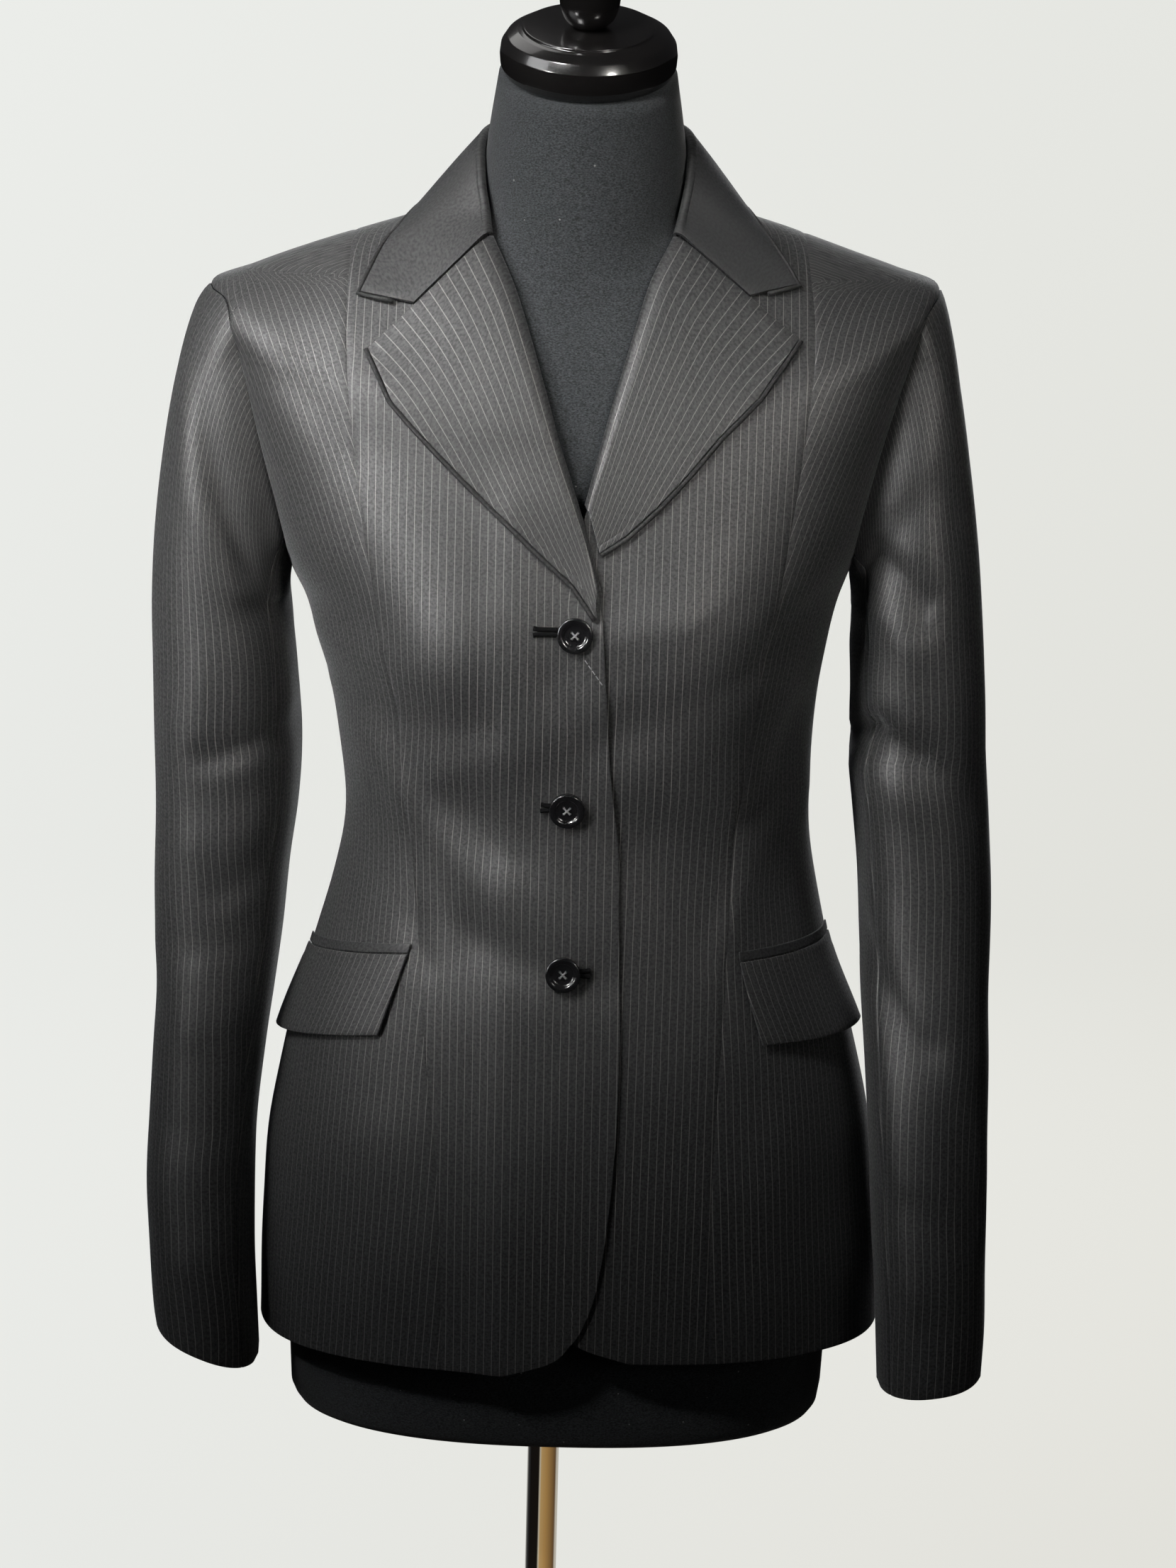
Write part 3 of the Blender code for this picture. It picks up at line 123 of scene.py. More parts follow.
# Folds: both ends (x, z), half width, height (below zero a trough), and how many times softer the side
# to the left of the fold's run is than the other
FRONT_FOLDS = (
    (-0.115, 0.905, -0.060, 0.893, 0.016, -0.0032, 1.5), (-0.090, 0.862, 0.010, 0.905, 0.014, 0.0023, 1.6),
    (-0.086, 0.870, -0.036, 0.826, 0.010, -0.0028, 2.0), (-0.085, 0.850, -0.010, 0.772, 0.018, 0.0030, 1.2),
    (-0.050, 0.775, 0.015, 0.755, 0.013, -0.0029, 1.4), (0.035, 0.900, 0.090, 0.925, 0.014, -0.0026, 1.5),
    (0.035, 0.870, 0.120, 0.850, 0.016, 0.0023, 1.3), (-0.152, 1.082, -0.124, 1.040, 0.010, -0.0020, 1.8),
    (-0.160, 0.968, -0.118, 0.945, 0.010, -0.0018, 2.2), (-0.140, 0.935, -0.112, 0.880, 0.012, 0.0017, 1.2),
    (-0.086, 0.785, -0.078, 0.762, 0.007, -0.0020, 1.5), (0.150, 0.975, 0.112, 0.948, 0.010, -0.0018, 2.0),
    (0.128, 0.905, 0.104, 0.842, 0.009, -0.0020, 1.8), (0.104, 0.835, 0.088, 0.775, 0.008, 0.0020, 1.5),
    (0.040, 0.830, 0.075, 0.770, 0.012, -0.0023, 1.7), (0.012, 0.945, 0.060, 0.958, 0.010, 0.0017, 1.5),
    (-0.012, 0.922, 0.012, 0.885, 0.007, -0.0017, 1.8), (-0.010, 0.745, 0.010, 0.700, 0.010, 0.0014, 1.2),
    (-0.105, 0.660, -0.098, 0.560, 0.013, 0.0014, 1.6), (0.120, 0.670, 0.112, 0.560, 0.013, 0.0014, 1.6),
)
BACK_FOLDS = (
    (-0.110, 0.862, -0.030, 0.838, 0.010, -0.0020, 1.8), (0.112, 0.868, 0.035, 0.835, 0.011, -0.0020, 1.6),
    (-0.095, 0.822, -0.020, 0.812, 0.009, 0.0016, 1.4), (0.090, 0.828, 0.015, 0.806, 0.010, 0.0016, 1.5),
    (-0.070, 0.795, 0.005, 0.785, 0.008, -0.0014, 1.8), (-0.155, 1.010, -0.110, 0.955, 0.011, -0.0018, 1.6),
    (0.152, 1.015, 0.112, 0.950, 0.012, -0.0018, 1.4), (-0.060, 1.140, 0.055, 1.132, 0.009, -0.0010, 1.6),
)
SKIRT_WAVES = (
    (-128, 14, 0.0050), (-160, 15, -0.0040), (122, 14, 0.0045), (158, 16, -0.0040),
    (-62, 16, 0.0016), (62, 16, 0.0016),
)


def smooth(levels, values, at):
    """The cubic curve through a table's rows, its slopes taken from the neighbouring rows."""
    slopes = np.gradient(values, levels, axis=0)
    at = np.clip(np.asarray(at, float), levels[0], levels[-1])
    row = np.clip(np.searchsorted(levels, at) - 1, 0, len(levels) - 2)
    span = levels[row + 1] - levels[row]
    t = (at - levels[row]) / span
    shape = np.shape(t) + (1,) * (values.ndim - 1)
    span, t = np.reshape(span, shape), np.reshape(t, shape)
    return (
        (1 + 2 * t) * (1 - t) ** 2 * values[row] + t * (1 - t) ** 2 * span * slopes[row]
        + t ** 2 * (3 - 2 * t) * values[row + 1] + t ** 2 * (t - 1) * span * slopes[row + 1]
    )


def ramp(value, low, high):
    t = np.clip((np.asarray(value, float) - low) / (high - low), 0, 1)
    return t * t * (3 - 2 * t)


def ring(name, level):
    return smooth(RINGS["level"], RINGS[name], level)


def figure(angle, level):
    """Points of the figure that the coat is cut for; angle in degrees from the centre front."""
    turn = np.radians(angle)
    sine, cosine = np.sin(turn), np.cos(turn)
    root = 2 / ring("power", level)
    x = ring("centre", level) + ring("half", level) * np.sign(sine) * np.abs(sine) ** root
    y = np.where(cosine > 0, -ring("front", level), ring("back", level)) * np.abs(cosine) ** root
    z = level + ring("side_rise", level) * sine ** 2
    z = z + np.where(cosine < 0, ring("back_rise", level), 0) * cosine ** 2
    for side in (-1, 1):
        away = ((x - side * BUST["x"]) / BUST["across"]) ** 2 + ((level - BUST["level"]) / BUST["up"]) ** 2
        y = y - np.where(cosine > 0, BUST["out"] * np.exp(-away), 0)
    return np.stack([x, y, z + LEAN * x], axis=-1)


def outward(angle, level):
    along = figure(angle + 0.2, level) - figure(angle - 0.2, level)
    up = figure(angle, level + 0.0004) - figure(angle, level - 0.0004)
    normal = np.cross(along, up)
    return normal / np.linalg.norm(normal, axis=-1, keepdims=True)


def folds(table, across, up):
    """Total height of a table's folds at points of a flat plan."""
    total = np.zeros(np.broadcast(across, up).shape)
    for x0, z0, x1, z1, width, height, softer in table:
        run_x, run_z = x1 - x0, z1 - z0
        off_x, off_z = across - x0, up - z0
        share = np.clip((off_x * run_x + off_z * run_z) / (run_x ** 2 + run_z ** 2), 0, 1)
        away = np.hypot(off_x - share * run_x, off_z - share * run_z)
        left = run_x * off_z - run_z * off_x > 0
        total = total + height * np.exp(-(away / np.where(left, width * softer, width)) ** 2)
    return total


def unevenness(across, up):
    """The slight waviness that worn cloth has all over."""
    return 0.00016 * (np.sin(71 * across + 33 * up) + np.sin(-47 * across + 58 * up + 1.3)
                      + np.sin(23 * across - 91 * up + 0.6))


def coat(angle, level, out=0.0, folded=True):
    """Points on the coat: the figure's points moved out, with the folds of the cloth."""
    angle, level = np.broadcast_arrays(np.asarray(angle, float), np.asarray(level, float))
    point = figure(angle, level)
    if folded:
        x, z, facing = point[..., 0], point[..., 2], np.cos(np.radians(angle))
        front, back = folds(FRONT_FOLDS, x, z), folds(BACK_FOLDS, x, z)
        out = out + front * ramp(facing, 0.0, 0.25) + back * ramp(-facing, 0.0, 0.25) + unevenness(x, z)
        for middle, width, height in SKIRT_WAVES:
            turn = (angle - middle + 180) % 360 - 180
            out = out + height * np.exp(-(turn / width) ** 2) * (1 - ramp(level, HEM, 0.74))
    return point + outward(angle, level) * np.asarray(out)[..., None]


def place(x, z, behind=False):
    """Angle and level of the figure's points that are seen at x, z from the front or from behind."""
    x, z = np.broadcast_arrays(np.asarray(x, float), np.asarray(z, float))
    low, high = np.full(x.shape, RINGS["level"][0]), np.full(x.shape, RINGS["level"][-1])
    for _ in range(40):
        level = (low + high) / 2
        share = np.clip(np.abs(x - ring("centre", level)) / ring("half", level), 0, 1)
        sine = share ** (ring("power", level) / 2)
        height = level + ring("side_rise", level) * sine ** 2 + LEAN * x
        if behind:
            height = height + ring("back_rise", level) * (1 - sine ** 2)
        low, high = np.where(height < z, level, low), np.where(height < z, high, level)
    turn = np.degrees(np.arcsin(sine)) * np.where(x > ring("centre", level), 1, -1)
    return np.stack([np.where(behind, np.copysign(180, turn) - turn, turn), level], axis=-1)


def upright(rows, column):
    ordered = sorted(rows)
    return np.array([row[0] for row in ordered]), np.array([row[column] for row in ordered])


LOWER_STEPS = len(LOWER_LEVELS) - 1
LOWER = np.interp(np.arange(LOWER_STEPS * FINE + 1) / FINE, np.arange(LOWER_STEPS + 1), LOWER_LEVELS)
UPPER = np.arange(1, UPPER_STEPS * FINE + 1) / FINE         # stations above the armpit


def neckline(corner, end, past):
    """Stations along the neckline, from its corner to the shoulder seam."""
    return np.stack([corner + (end - corner) * past, np.full(len(past), NECK_LEVEL)], axis=1)


def front_edge(rows, first_height):
    """The front edge and roll line, then the neckline out to the shoulder seam."""
    known, x = upright(rows, 1)
    roll = UPPER[UPPER <= ROLL_STEPS]
    heights = np.where(roll < 1, ARMPIT + (first_height - ARMPIT) * roll,
                       first_height + (known[-1] - first_height) * (roll - 1) / (ROLL_STEPS - 1))
    heights = np.concatenate([LOWER, heights])
    edge = place(smooth(known, x, heights), heights)
    last_steps = np.clip(np.arange(len(edge)) - (len(edge) - 1 - FINE), 0, FINE) / FINE
    edge[:, 1] += (NECK_LEVEL - edge[-1, 1]) * last_steps
    past = (UPPER[UPPER > ROLL_STEPS] - ROLL_STEPS) / (UPPER_STEPS - ROLL_STEPS)
    return np.concatenate([edge, neckline(edge[-1, 0], math.copysign(90, edge[-1, 0]), past)])


def princess(rows, column, behind, sign):
    end = figure(90.0 * sign, PRINCESS_TOP)
    known, x = upright(rows, column)
    known, x = np.append(known, end[2]), np.append(x, end[0])
    heights = end[2] - (end[2] - ARMPIT) * (1 - UPPER[:-1] / UPPER_STEPS) ** RIDGE_CROWDING
    heights = np.concatenate([LOWER, heights])
    seam = place(smooth(known, x, heights), heights, behind)
    return np.concatenate([seam, [(90 * sign, PRINCESS_TOP)]])


def side_line(rows, column, behind, sign):
    """The side seam up to the armpit, then the armhole's edge up to the shoulder tip."""
    lower = np.stack([np.interp(LOWER, (HEM, ARMPIT), (84 * sign, 90 * sign)), LOWER], axis=1)
    ends = [figure(90.0 * sign, level)[[0, 2]] for level in (ARMPIT, TIP_LEVEL)]
    bends = np.array([ends[0], *[(row[column], row[0]) for row in rows], ends[1]])
    curve = smooth(np.arange(len(bends), dtype=float), bends, UPPER[:-1])
    return np.concatenate([lower, place(curve[:, 0], curve[:, 1], behind), [(90 * sign, TIP_LEVEL)]])


def back_edge(sign):
    """The centre back seam, then the neckline out to the shoulder seam."""
    seam = UPPER[UPPER <= ROLL_STEPS] / ROLL_STEPS
    levels = np.concatenate([LOWER, ARMPIT + (NECK_LEVEL - ARMPIT) * seam])
    past = (UPPER[UPPER > ROLL_STEPS] - ROLL_STEPS) / (UPPER_STEPS - ROLL_STEPS)
    return np.concatenate([np.stack([np.full(len(levels), 180.0 * sign), levels], axis=1),
                           neckline(180.0 * sign, 90.0 * sign, past)])


def lap_lift(point):
    """How far the right front stands off where it lies over the left front."""
    return LAP_OUT * ramp(point[..., 0], LAP_FROM, LAP_TO) * (1 - ramp(point[..., 2], *LAP_TOP))


def crowded(count):
    """Shares across a panel, closer together beside its two seams."""
    ends = np.array([0.0, 0.006, 0.014, 0.026])
    return np.concatenate([ends, np.linspace(0.045, 0.955, count), 1 - ends[::-1]])


def cut_uv(grid):
    """The flat cut of a panel in metres: across from its middle line, and up."""
    across = np.cumsum(np.linalg.norm(np.diff(grid, axis=1, prepend=grid[:, :1]), axis=2), axis=1)
    up = np.cumsum(np.linalg.norm(np.diff(grid, axis=0, prepend=grid[:1]), axis=2).mean(axis=1))
    middle = across[:, across.shape[1] // 2, None]
    return np.stack([across - middle, np.broadcast_to(up[:, None], across.shape)], axis=-1)


SECTION_ANGLES = np.linspace(0, 180, 181)
SECTION_HEIGHTS = np.linspace(0.50, 1.22, 181)


def level_sections(sign):
    """Arc lengths round one side of the figure, from the centre front, on level sections."""
    angle, height = np.meshgrid(SECTION_ANGLES * sign, SECTION_HEIGHTS)
    low, high = np.full(angle.shape, RINGS["level"][0]), np.full(angle.shape, RINGS["level"][-1])
    for _ in range(30):
        level = (low + high) / 2
        under = figure(angle, level)[..., 2] < height
        low, high = np.where(under, level, low), np.where(under, high, level)
    point = figure(angle, level)
    arc = np.cumsum(np.linalg.norm(np.diff(point[..., :2], axis=1, prepend=point[:, :1, :2]), axis=2), axis=1)
    return arc, np.abs(point[..., 0])


def body_uv(grid, angle, level, sign, grain, behind):
    """The cut of a body panel: distance from its grain line on level sections, and height along it."""
    arc, aside = SECTIONS[sign]
    height = figure(angle, level)[..., 2]
    spacing = SECTION_HEIGHTS[1] - SECTION_HEIGHTS[0]
    row = np.clip((height - SECTION_HEIGHTS[0]) / spacing, 0, len(SECTION_HEIGHTS) - 1.001)
    column = np.clip(np.abs(angle), 0, len(SECTION_ANGLES) - 1.001)
    r, c = row.astype(int), column.astype(int)
    fr, fc = row - r, column - c
    round_body = ((arc[r, c] * (1 - fc) + arc[r, c + 1] * fc) * (1 - fr)
                  + (arc[r + 1, c] * (1 - fc) + arc[r + 1, c + 1] * fc) * fr)
    heights, offsets = np.array(grain).T
    half = slice(90, 181) if behind else slice(0, 91)
    start = []
    for k, z in enumerate(SECTION_HEIGHTS):
        line, x = arc[k, half], aside[k, half]
        order = np.argsort(x)
        start.append(np.interp(np.interp(z, heights, offsets), x[order], line[order]))
    start = np.interp(height, SECTION_HEIGHTS, start)
    up = np.cumsum(np.linalg.norm(np.diff(grid, axis=0, prepend=grid[:1]), axis=2).mean(axis=1))
    past_middle = np.where(angle * sign < 0, -1, 1)
    return np.stack([round_body * past_middle - start, np.broadcast_to(up[:, None], height.shape)], axis=-1)


SECTIONS = {sign: level_sections(sign) for sign in (-1, 1)}


def in_scene(name, data):
    """A new object in the scene's collection."""
    thing = bpy.data.objects.new(name, data)
    bpy.context.scene.collection.objects.link(thing)
    return thing


def cloth(name, grid, uv, material, thick=CLOTH, rounding=0.0005):
    """A panel of cloth from a grid of points, facing outwards, with its thickness on that side."""
    rows, columns = grid.shape[:2]
    index = np.arange(rows * columns).reshape(rows, columns)
    quads = np.stack([index[:-1, :-1], index[:-1, 1:], index[1:, 1:], index[1:, :-1]], axis=-1).reshape(-1, 4)
    mesh = bpy.data.meshes.new(name)
    mesh.from_pydata((grid.reshape(-1, 3) + (POLE_ASIDE, 0, 0)).tolist(), [], quads.tolist())
    layer = mesh.uv_layers.new(name="cut")
    layer.data.foreach_set("uv", uv.reshape(-1, 2)[quads.ravel()].ravel())
    mesh.materials.append(material)
    piece = in_scene(name, mesh)
    wall = piece.modifiers.new("Thickness", "SOLIDIFY")
    wall.thickness, wall.offset = thick, 1
    edge = piece.modifiers.new("Pressed edge", "BEVEL")
    edge.width, edge.segments, edge.limit_method, edge.angle_limit = rounding, 2, "ANGLE", math.radians(55)
    bpy.context.view_layer.objects.active = piece
    for modifier in list(piece.modifiers):
        bpy.ops.object.modifier_apply(modifier=modifier.name)
    piece.data.shade_smooth()
    return piece


def sewn_on(piece, node):
    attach(piece, "root")
    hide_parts(node)


def connect(tree, value, socket):
    """Links a socket to the given one, or sets that one to a value."""
    if isinstance(value, bpy.types.NodeSocket):
        tree.links.new(value, socket)
    else:
        socket.default_value = value


def calculate(tree, operation, *values, clamp=False):
    """A Math node; each value is a number or a socket."""
    node = tree.nodes.new("ShaderNodeMath")
    node.operation, node.use_clamp = operation, clamp
    for socket, value in zip(node.inputs, values):
        connect(tree, value, socket)
    return node.outputs[0]


def mixed(tree, share, one, two, blend="MIX"):
    """A Mix node of two colours; the share and the colours are values or sockets."""
    node = tree.nodes.new("ShaderNodeMix")
    node.data_type, node.blend_type = "RGBA", blend
    for number, value in ((0, share), (6, one), (7, two)):
        connect(tree, value, node.inputs[number])
    return node.outputs[2]


def noise(tree, vector, scale, detail, roughness=0.5):
    node = tree.nodes.new("ShaderNodeTexNoise")
    for title, value in (("Scale", scale), ("Detail", detail), ("Roughness", roughness)):
        node.inputs[title].default_value = value
    tree.links.new(vector, node.inputs["Vector"])
    return node.outputs[0]


def bumped(tree, height, strength, distance):
    """Gives the shader the small relief of a height."""
    bump = tree.nodes.new("ShaderNodeBump")
    bump.inputs["Strength"].default_value, bump.inputs["Distance"].default_value = strength, distance
    tree.links.new(height, bump.inputs["Height"])
    tree.links.new(bump.outputs[0], tree.nodes["Principled BSDF"].inputs["Normal"])


def principled(name, settings):
    """A material and its node tree, with the shader's sockets set by their names."""
    material = bpy.data.materials.new(name)
    material.use_nodes = True
    for title, value in settings.items():
        material.node_tree.nodes["Principled BSDF"].inputs[title].default_value = value
    return material, material.node_tree


RIB_PITCH, RIB_SLANT, RIB_HEIGHT = 0.0007, 0.8, 0.35
YARN_SCALE, YARN_LOW, YARN_CONTRAST = 640.0, 0.36, 3.2
CLOUD_SCALE, CLOUD_CONTRAST = 35.0, 0.5


def make_weave():
    """Twill weave: fine slanting ribs and the mottle of the dyed yarn, on a flat cut in metres."""
    group = bpy.data.node_groups.new("twill weave", "ShaderNodeTree")
    group.interface.new_socket("Cut", in_out="INPUT", socket_type="NodeSocketVector")
    for title in ("Height", "Mottle"):
        group.interface.new_socket(title, in_out="OUTPUT", socket_type="NodeSocketFloat")
    cut = group.nodes.new("NodeGroupInput").outputs["Cut"]
    result = group.nodes.new("NodeGroupOutput")
    split = group.nodes.new("ShaderNodeSeparateXYZ")
    group.links.new(cut, split.inputs[0])
    rise = calculate(group, "MULTIPLY", split.outputs[1], RIB_SLANT)
    slant = calculate(group, "ADD", split.outputs[0], rise)
    turns = calculate(group, "DIVIDE", calculate(group, "MULTIPLY", slant, 2 * math.pi), RIB_PITCH)
    rib = calculate(group, "MULTIPLY", calculate(group, "SINE", turns), RIB_HEIGHT)
    yarn = noise(group, cut, YARN_SCALE, 2.0)
    group.links.new(calculate(group, "ADD", rib, yarn), result.inputs["Height"])
    cloud = calculate(group, "SUBTRACT", noise(group, cut, CLOUD_SCALE, 3.0), 0.5)
    spread = calculate(group, "MULTIPLY", calculate(group, "SUBTRACT", yarn, YARN_LOW), YARN_CONTRAST)
    mottle = calculate(group, "ADD", spread, calculate(group, "MULTIPLY", cloud, CLOUD_CONTRAST), clamp=True)
    group.links.new(mottle, result.inputs["Mottle"])
    return group


WEAVE = make_weave()
STRIPE_PITCH, STRIPE_HALF, STRIPE_COLOUR = 0.0044, 0.00018, (0.170, 0.166, 0.158, 1)
STITCH_PITCH = 0.0009   # the beads of pale yarn along a stripe
GLOSS_SPREAD, GLOSS_CHANGE = 0.17, 0.30     # how the mottle changes the roughness


def woven(name, ground, raised, roughness, sheen, striped):
    """A worsted: ground colour, colour of the raised yarn, and pale stripes along the cut if striped."""
    material, tree = principled(name, {
        "Specular IOR Level": 0.60, "Sheen Weight": sheen, "Sheen Roughness": 0.45,
        "Sheen Tint": (0.75, 0.77, 0.80, 1),
    })
    shader = tree.nodes["Principled BSDF"]
    cut = tree.nodes.new("ShaderNodeUVMap")
    cut.uv_map = "cut"
    weave = tree.nodes.new("ShaderNodeGroup")
    weave.node_tree = WEAVE
    tree.links.new(cut.outputs[0], weave.inputs["Cut"])
    final = mixed(tree, weave.outputs["Mottle"], (*ground, 1), (*raised, 1))
    if striped:
        split = tree.nodes.new("ShaderNodeSeparateXYZ")
        tree.links.new(cut.outputs[0], split.inputs[0])
        cell = calculate(tree, "FRACT", calculate(tree, "DIVIDE", split.outputs[0], STRIPE_PITCH))
        off = calculate(tree, "ABSOLUTE", calculate(tree, "SUBTRACT", cell, 0.5))
        off = calculate(tree, "MULTIPLY", off, STRIPE_PITCH)
        inside = calculate(tree, "SUBTRACT", STRIPE_HALF * 1.6, off)
        line = calculate(tree, "DIVIDE", inside, STRIPE_HALF * 1.2, clamp=True)
        turns = calculate(tree, "MULTIPLY", split.outputs[1], 2 * math.pi / STITCH_PITCH)
        bead = calculate(tree, "ADD", calculate(tree, "MULTIPLY", calculate(tree, "SINE", turns), 0.18), 0.62)
        final = mixed(tree, calculate(tree, "MULTIPLY", line, bead), final, STRIPE_COLOUR)
    tree.links.new(final, shader.inputs["Base Color"])
    bumped(tree, weave.outputs["Height"], 0.18, 0.00025)
    gloss = calculate(tree, "MULTIPLY", weave.outputs["Mottle"], GLOSS_CHANGE)
    tree.links.new(calculate(tree, "SUBTRACT", roughness + GLOSS_SPREAD, gloss), shader.inputs["Roughness"])
    return material


worsted = woven("striped worsted", (0.0045, 0.0048, 0.0051), (0.0220, 0.0223, 0.0226), 0.52, 0.16, True)
dark_cloth = woven("plain dark cloth", (0.0050, 0.0053, 0.0056), (0.0140, 0.0144, 0.0148), 0.56, 0.12,
                   False)

# Grain lines of the panels as seen from the front or back: height and distance from the middle
GRAINS = {
    "front": ((0.53, 0.046), (1.16, 0.050)),
    "side_front": ((0.53, 0.122), (0.70, 0.112), (0.80, 0.103), (0.86, 0.104), (0.92, 0.112), (0.97, 0.123),
                   (1.02, 0.141), (1.08, 0.165), (1.135, 0.190)),
    "side_back": ((0.53, 0.135), (0.75, 0.115), (0.84, 0.103), (0.97, 0.125), (1.08, 0.150), (1.14, 0.165)),
    "back": ((0.53, 0.045), (1.20, 0.045)),
}
SEAM_DIP, SEAM_DIP_WIDTH, SEAM_HALF_GAP = 0.0004, 0.0016, 0.00012
ARMHOLE_DIP, ARMHOLE_DIP_WIDTH = 0.0011, 0.0028
edges, armholes = {}, {}
for side, sign in SIDES.items():
    column = 1 if sign < 0 else 2
    edges[side] = front_edge(RIGHT_EDGE_ROWS if sign < 0 else LEFT_EDGE_ROWS, ROLL_STATION[side])
    seam_front = princess(PRINCESS_ROWS, column, False, sign)
    seam_back = princess(PRINCESS_BACK_ROWS, column, True, sign)
    side_front = side_line(ARMHOLE_FRONT_ROWS, column, False, sign)
    side_back = side_line(ARMHOLE_BACK_ROWS, column, True, sign)
    armpit = LOWER_STEPS * FINE
    armholes[side] = np.concatenate([side_front[armpit:], side_back[armpit + 1:-1][::-1]])
    plans = {"front": (edges[side], seam_front, 46), "side_front": (seam_front, side_front, 28),
             "side_back": (side_back, seam_back, 28), "back": (seam_back, back_edge(sign), 34)}
    for kind, (start, end, count) in plans.items():
        share = crowded(count)[None, :]
        angle = start[:, :1] * (1 - share) + end[:, :1] * share
        level = start[:, 1:] * (1 - share) + end[:, 1:] * share
        if sign > 0 and "front" in kind:
            level = level + LEFT_HEM_LIFT * np.clip(1 - angle / 84, 0, 1) * (1 - ramp(level, HEM, 0.66))
        point = figure(angle, level)
        across = np.cumsum(np.linalg.norm(np.diff(point, axis=1, prepend=point[:, :1]), axis=2), axis=1)
        lift = -SEAM_DIP * (kind != "front") * np.exp(-(across / SEAM_DIP_WIDTH) ** 2)
        lift = lift - SEAM_DIP * np.exp(-((across[:, -1:] - across) / SEAM_DIP_WIDTH) ** 2)
        if kind == "front" and sign < 0:
            lift = lift + lap_lift(point)
        if "side" in kind:
            from_armhole = across if kind == "side_back" else across[:, -1:] - across
            dip = np.exp(-(from_armhole / ARMHOLE_DIP_WIDTH) ** 2)
            lift = lift - ARMHOLE_DIP * ramp(level, ARMPIT, 0.990) * dip
        grid = coat(angle, level, lift)
        for border, inner in ((0, 1), (-1, -2)):
            step = grid[:, inner] - grid[:, border]
            grid[:, border] += step / np.linalg.norm(step, axis=-1, keepdims=True) * SEAM_HALF_GAP
        uv = body_uv(grid, np.broadcast_to(angle, level.shape), level, sign, GRAINS[kind], "back" in kind)
        if sign < 0:
            grid, uv = grid[:, ::-1], uv[:, ::-1]
        piece = cloth(f"{kind}_{side}_cloth", grid, uv, worsted)
        sewn_on(piece, f"{kind}_{side}")

# The sleeves: each a top sleeve and an under sleeve of the striped worsted, sewn to each other along two
# seams and set into the armhole. They hang empty and lean a little forward, creased at the elbow.
SLEEVE_COLUMNS = ("inner_x", "inner_z", "outer_x", "outer_z", "middle_y", "half_depth")
RIGHT_SLEEVE_ROWS = (
    (0.1620, 0.9740, 0.2060, 1.1270, 0.001, 0.0535), (0.1630, 0.9660, 0.2180, 1.1060, 0.001, 0.0560),
    (0.1635, 0.9580, 0.2275, 1.0740, 0.002, 0.0590), (0.1630, 0.9500, 0.2345, 1.0350, 0.003, 0.0625),
    (0.1615, 0.9400, 0.2385, 0.9930, 0.003, 0.0630), (0.1600, 0.9260, 0.2400, 0.9500, 0.003, 0.0630),
    (0.1575, 0.9050, 0.2395, 0.9100, 0.003, 0.0625), (0.1552, 0.8700, 0.2390, 0.8700, 0.004, 0.0610),
    (0.1562, 0.8310, 0.2385, 0.8310, 0.003, 0.0590), (0.1607, 0.7930, 0.2380, 0.7930, 0.000, 0.0570),
    (0.1643, 0.7570, 0.2370, 0.7570, -0.004, 0.0555), (0.1684, 0.7225, 0.2364, 0.7225, -0.009, 0.0540),
    (0.1728, 0.6895, 0.2376, 0.6895, -0.015, 0.0515), (0.1763, 0.6520, 0.2387, 0.6520, -0.024, 0.0490),
    (0.1775, 0.6140, 0.2392, 0.6140, -0.034, 0.0465), (0.1765, 0.5750, 0.2367, 0.5760, -0.043, 0.0445),
    (0.1743, 0.5400, 0.2337, 0.5480, -0.049, 0.0430), (0.1725, 0.5115, 0.2312, 0.5345, -0.053, 0.0420),
)
LEFT_SLEEVE_ROWS = (
    (0.1545, 0.9800, 0.1925, 1.1330, 0.001, 0.0535), (0.1560, 0.9720, 0.2030, 1.1080, 0.001, 0.0560),
    (0.1570, 0.9640, 0.2118, 1.0750, 0.002, 0.0590), (0.1575, 0.9560, 0.2200, 1.0350, 0.003, 0.0625),
    (0.1575, 0.9460, 0.2265, 0.9930, 0.003, 0.0630), (0.1575, 0.9320, 0.2312, 0.9500, 0.003, 0.0630),
    (0.1580, 0.9050, 0.2350, 0.9100, 0.002, 0.0625), (0.1590, 0.8700, 0.2375, 0.8700, 0.002, 0.0610),
    (0.1625, 0.8310, 0.2410, 0.8310, 0.000, 0.0590), (0.1661, 0.7945, 0.2432, 0.7945, -0.005, 0.0570),
    (0.1680, 0.7600, 0.2437, 0.7600, -0.014, 0.0550), (0.1699, 0.7275, 0.2432, 0.7275, -0.026, 0.0530),
    (0.1724, 0.6965, 0.2433, 0.6965, -0.039, 0.0510), (0.1749, 0.6605, 0.2436, 0.6605, -0.051, 0.0485),
    (0.1772, 0.6245, 0.2441, 0.6245, -0.060, 0.0465), (0.1797, 0.5875, 0.2444, 0.5875, -0.067, 0.0450),
    (0.1822, 0.5500, 0.2449, 0.5520, -0.072, 0.0440), (0.1844, 0.5155, 0.2441, 0.5255, -0.075, 0.0430),
)
SLEEVE_POWER = 2.3
UNDERARM_ROOM, SLEEVE_STAND = 0.0020, -0.0009
LOOP_FADE, LOOP_SOFTENING = (1.0, 0.72, 0.45, 0.22, 0.07, 0.0), (0, 16, 48, 80, 112, 112)
SLEEVE_RINGS = 120
FRONT_SEAM, BACK_SEAM = 2 * FINE, 3 * FINE      # points from the armpit to the two seams
SLEEVE_LONG, SLEEVE_ROUND = 0.56, 0.33      # rough length and girth, which turn a fold's place into metres

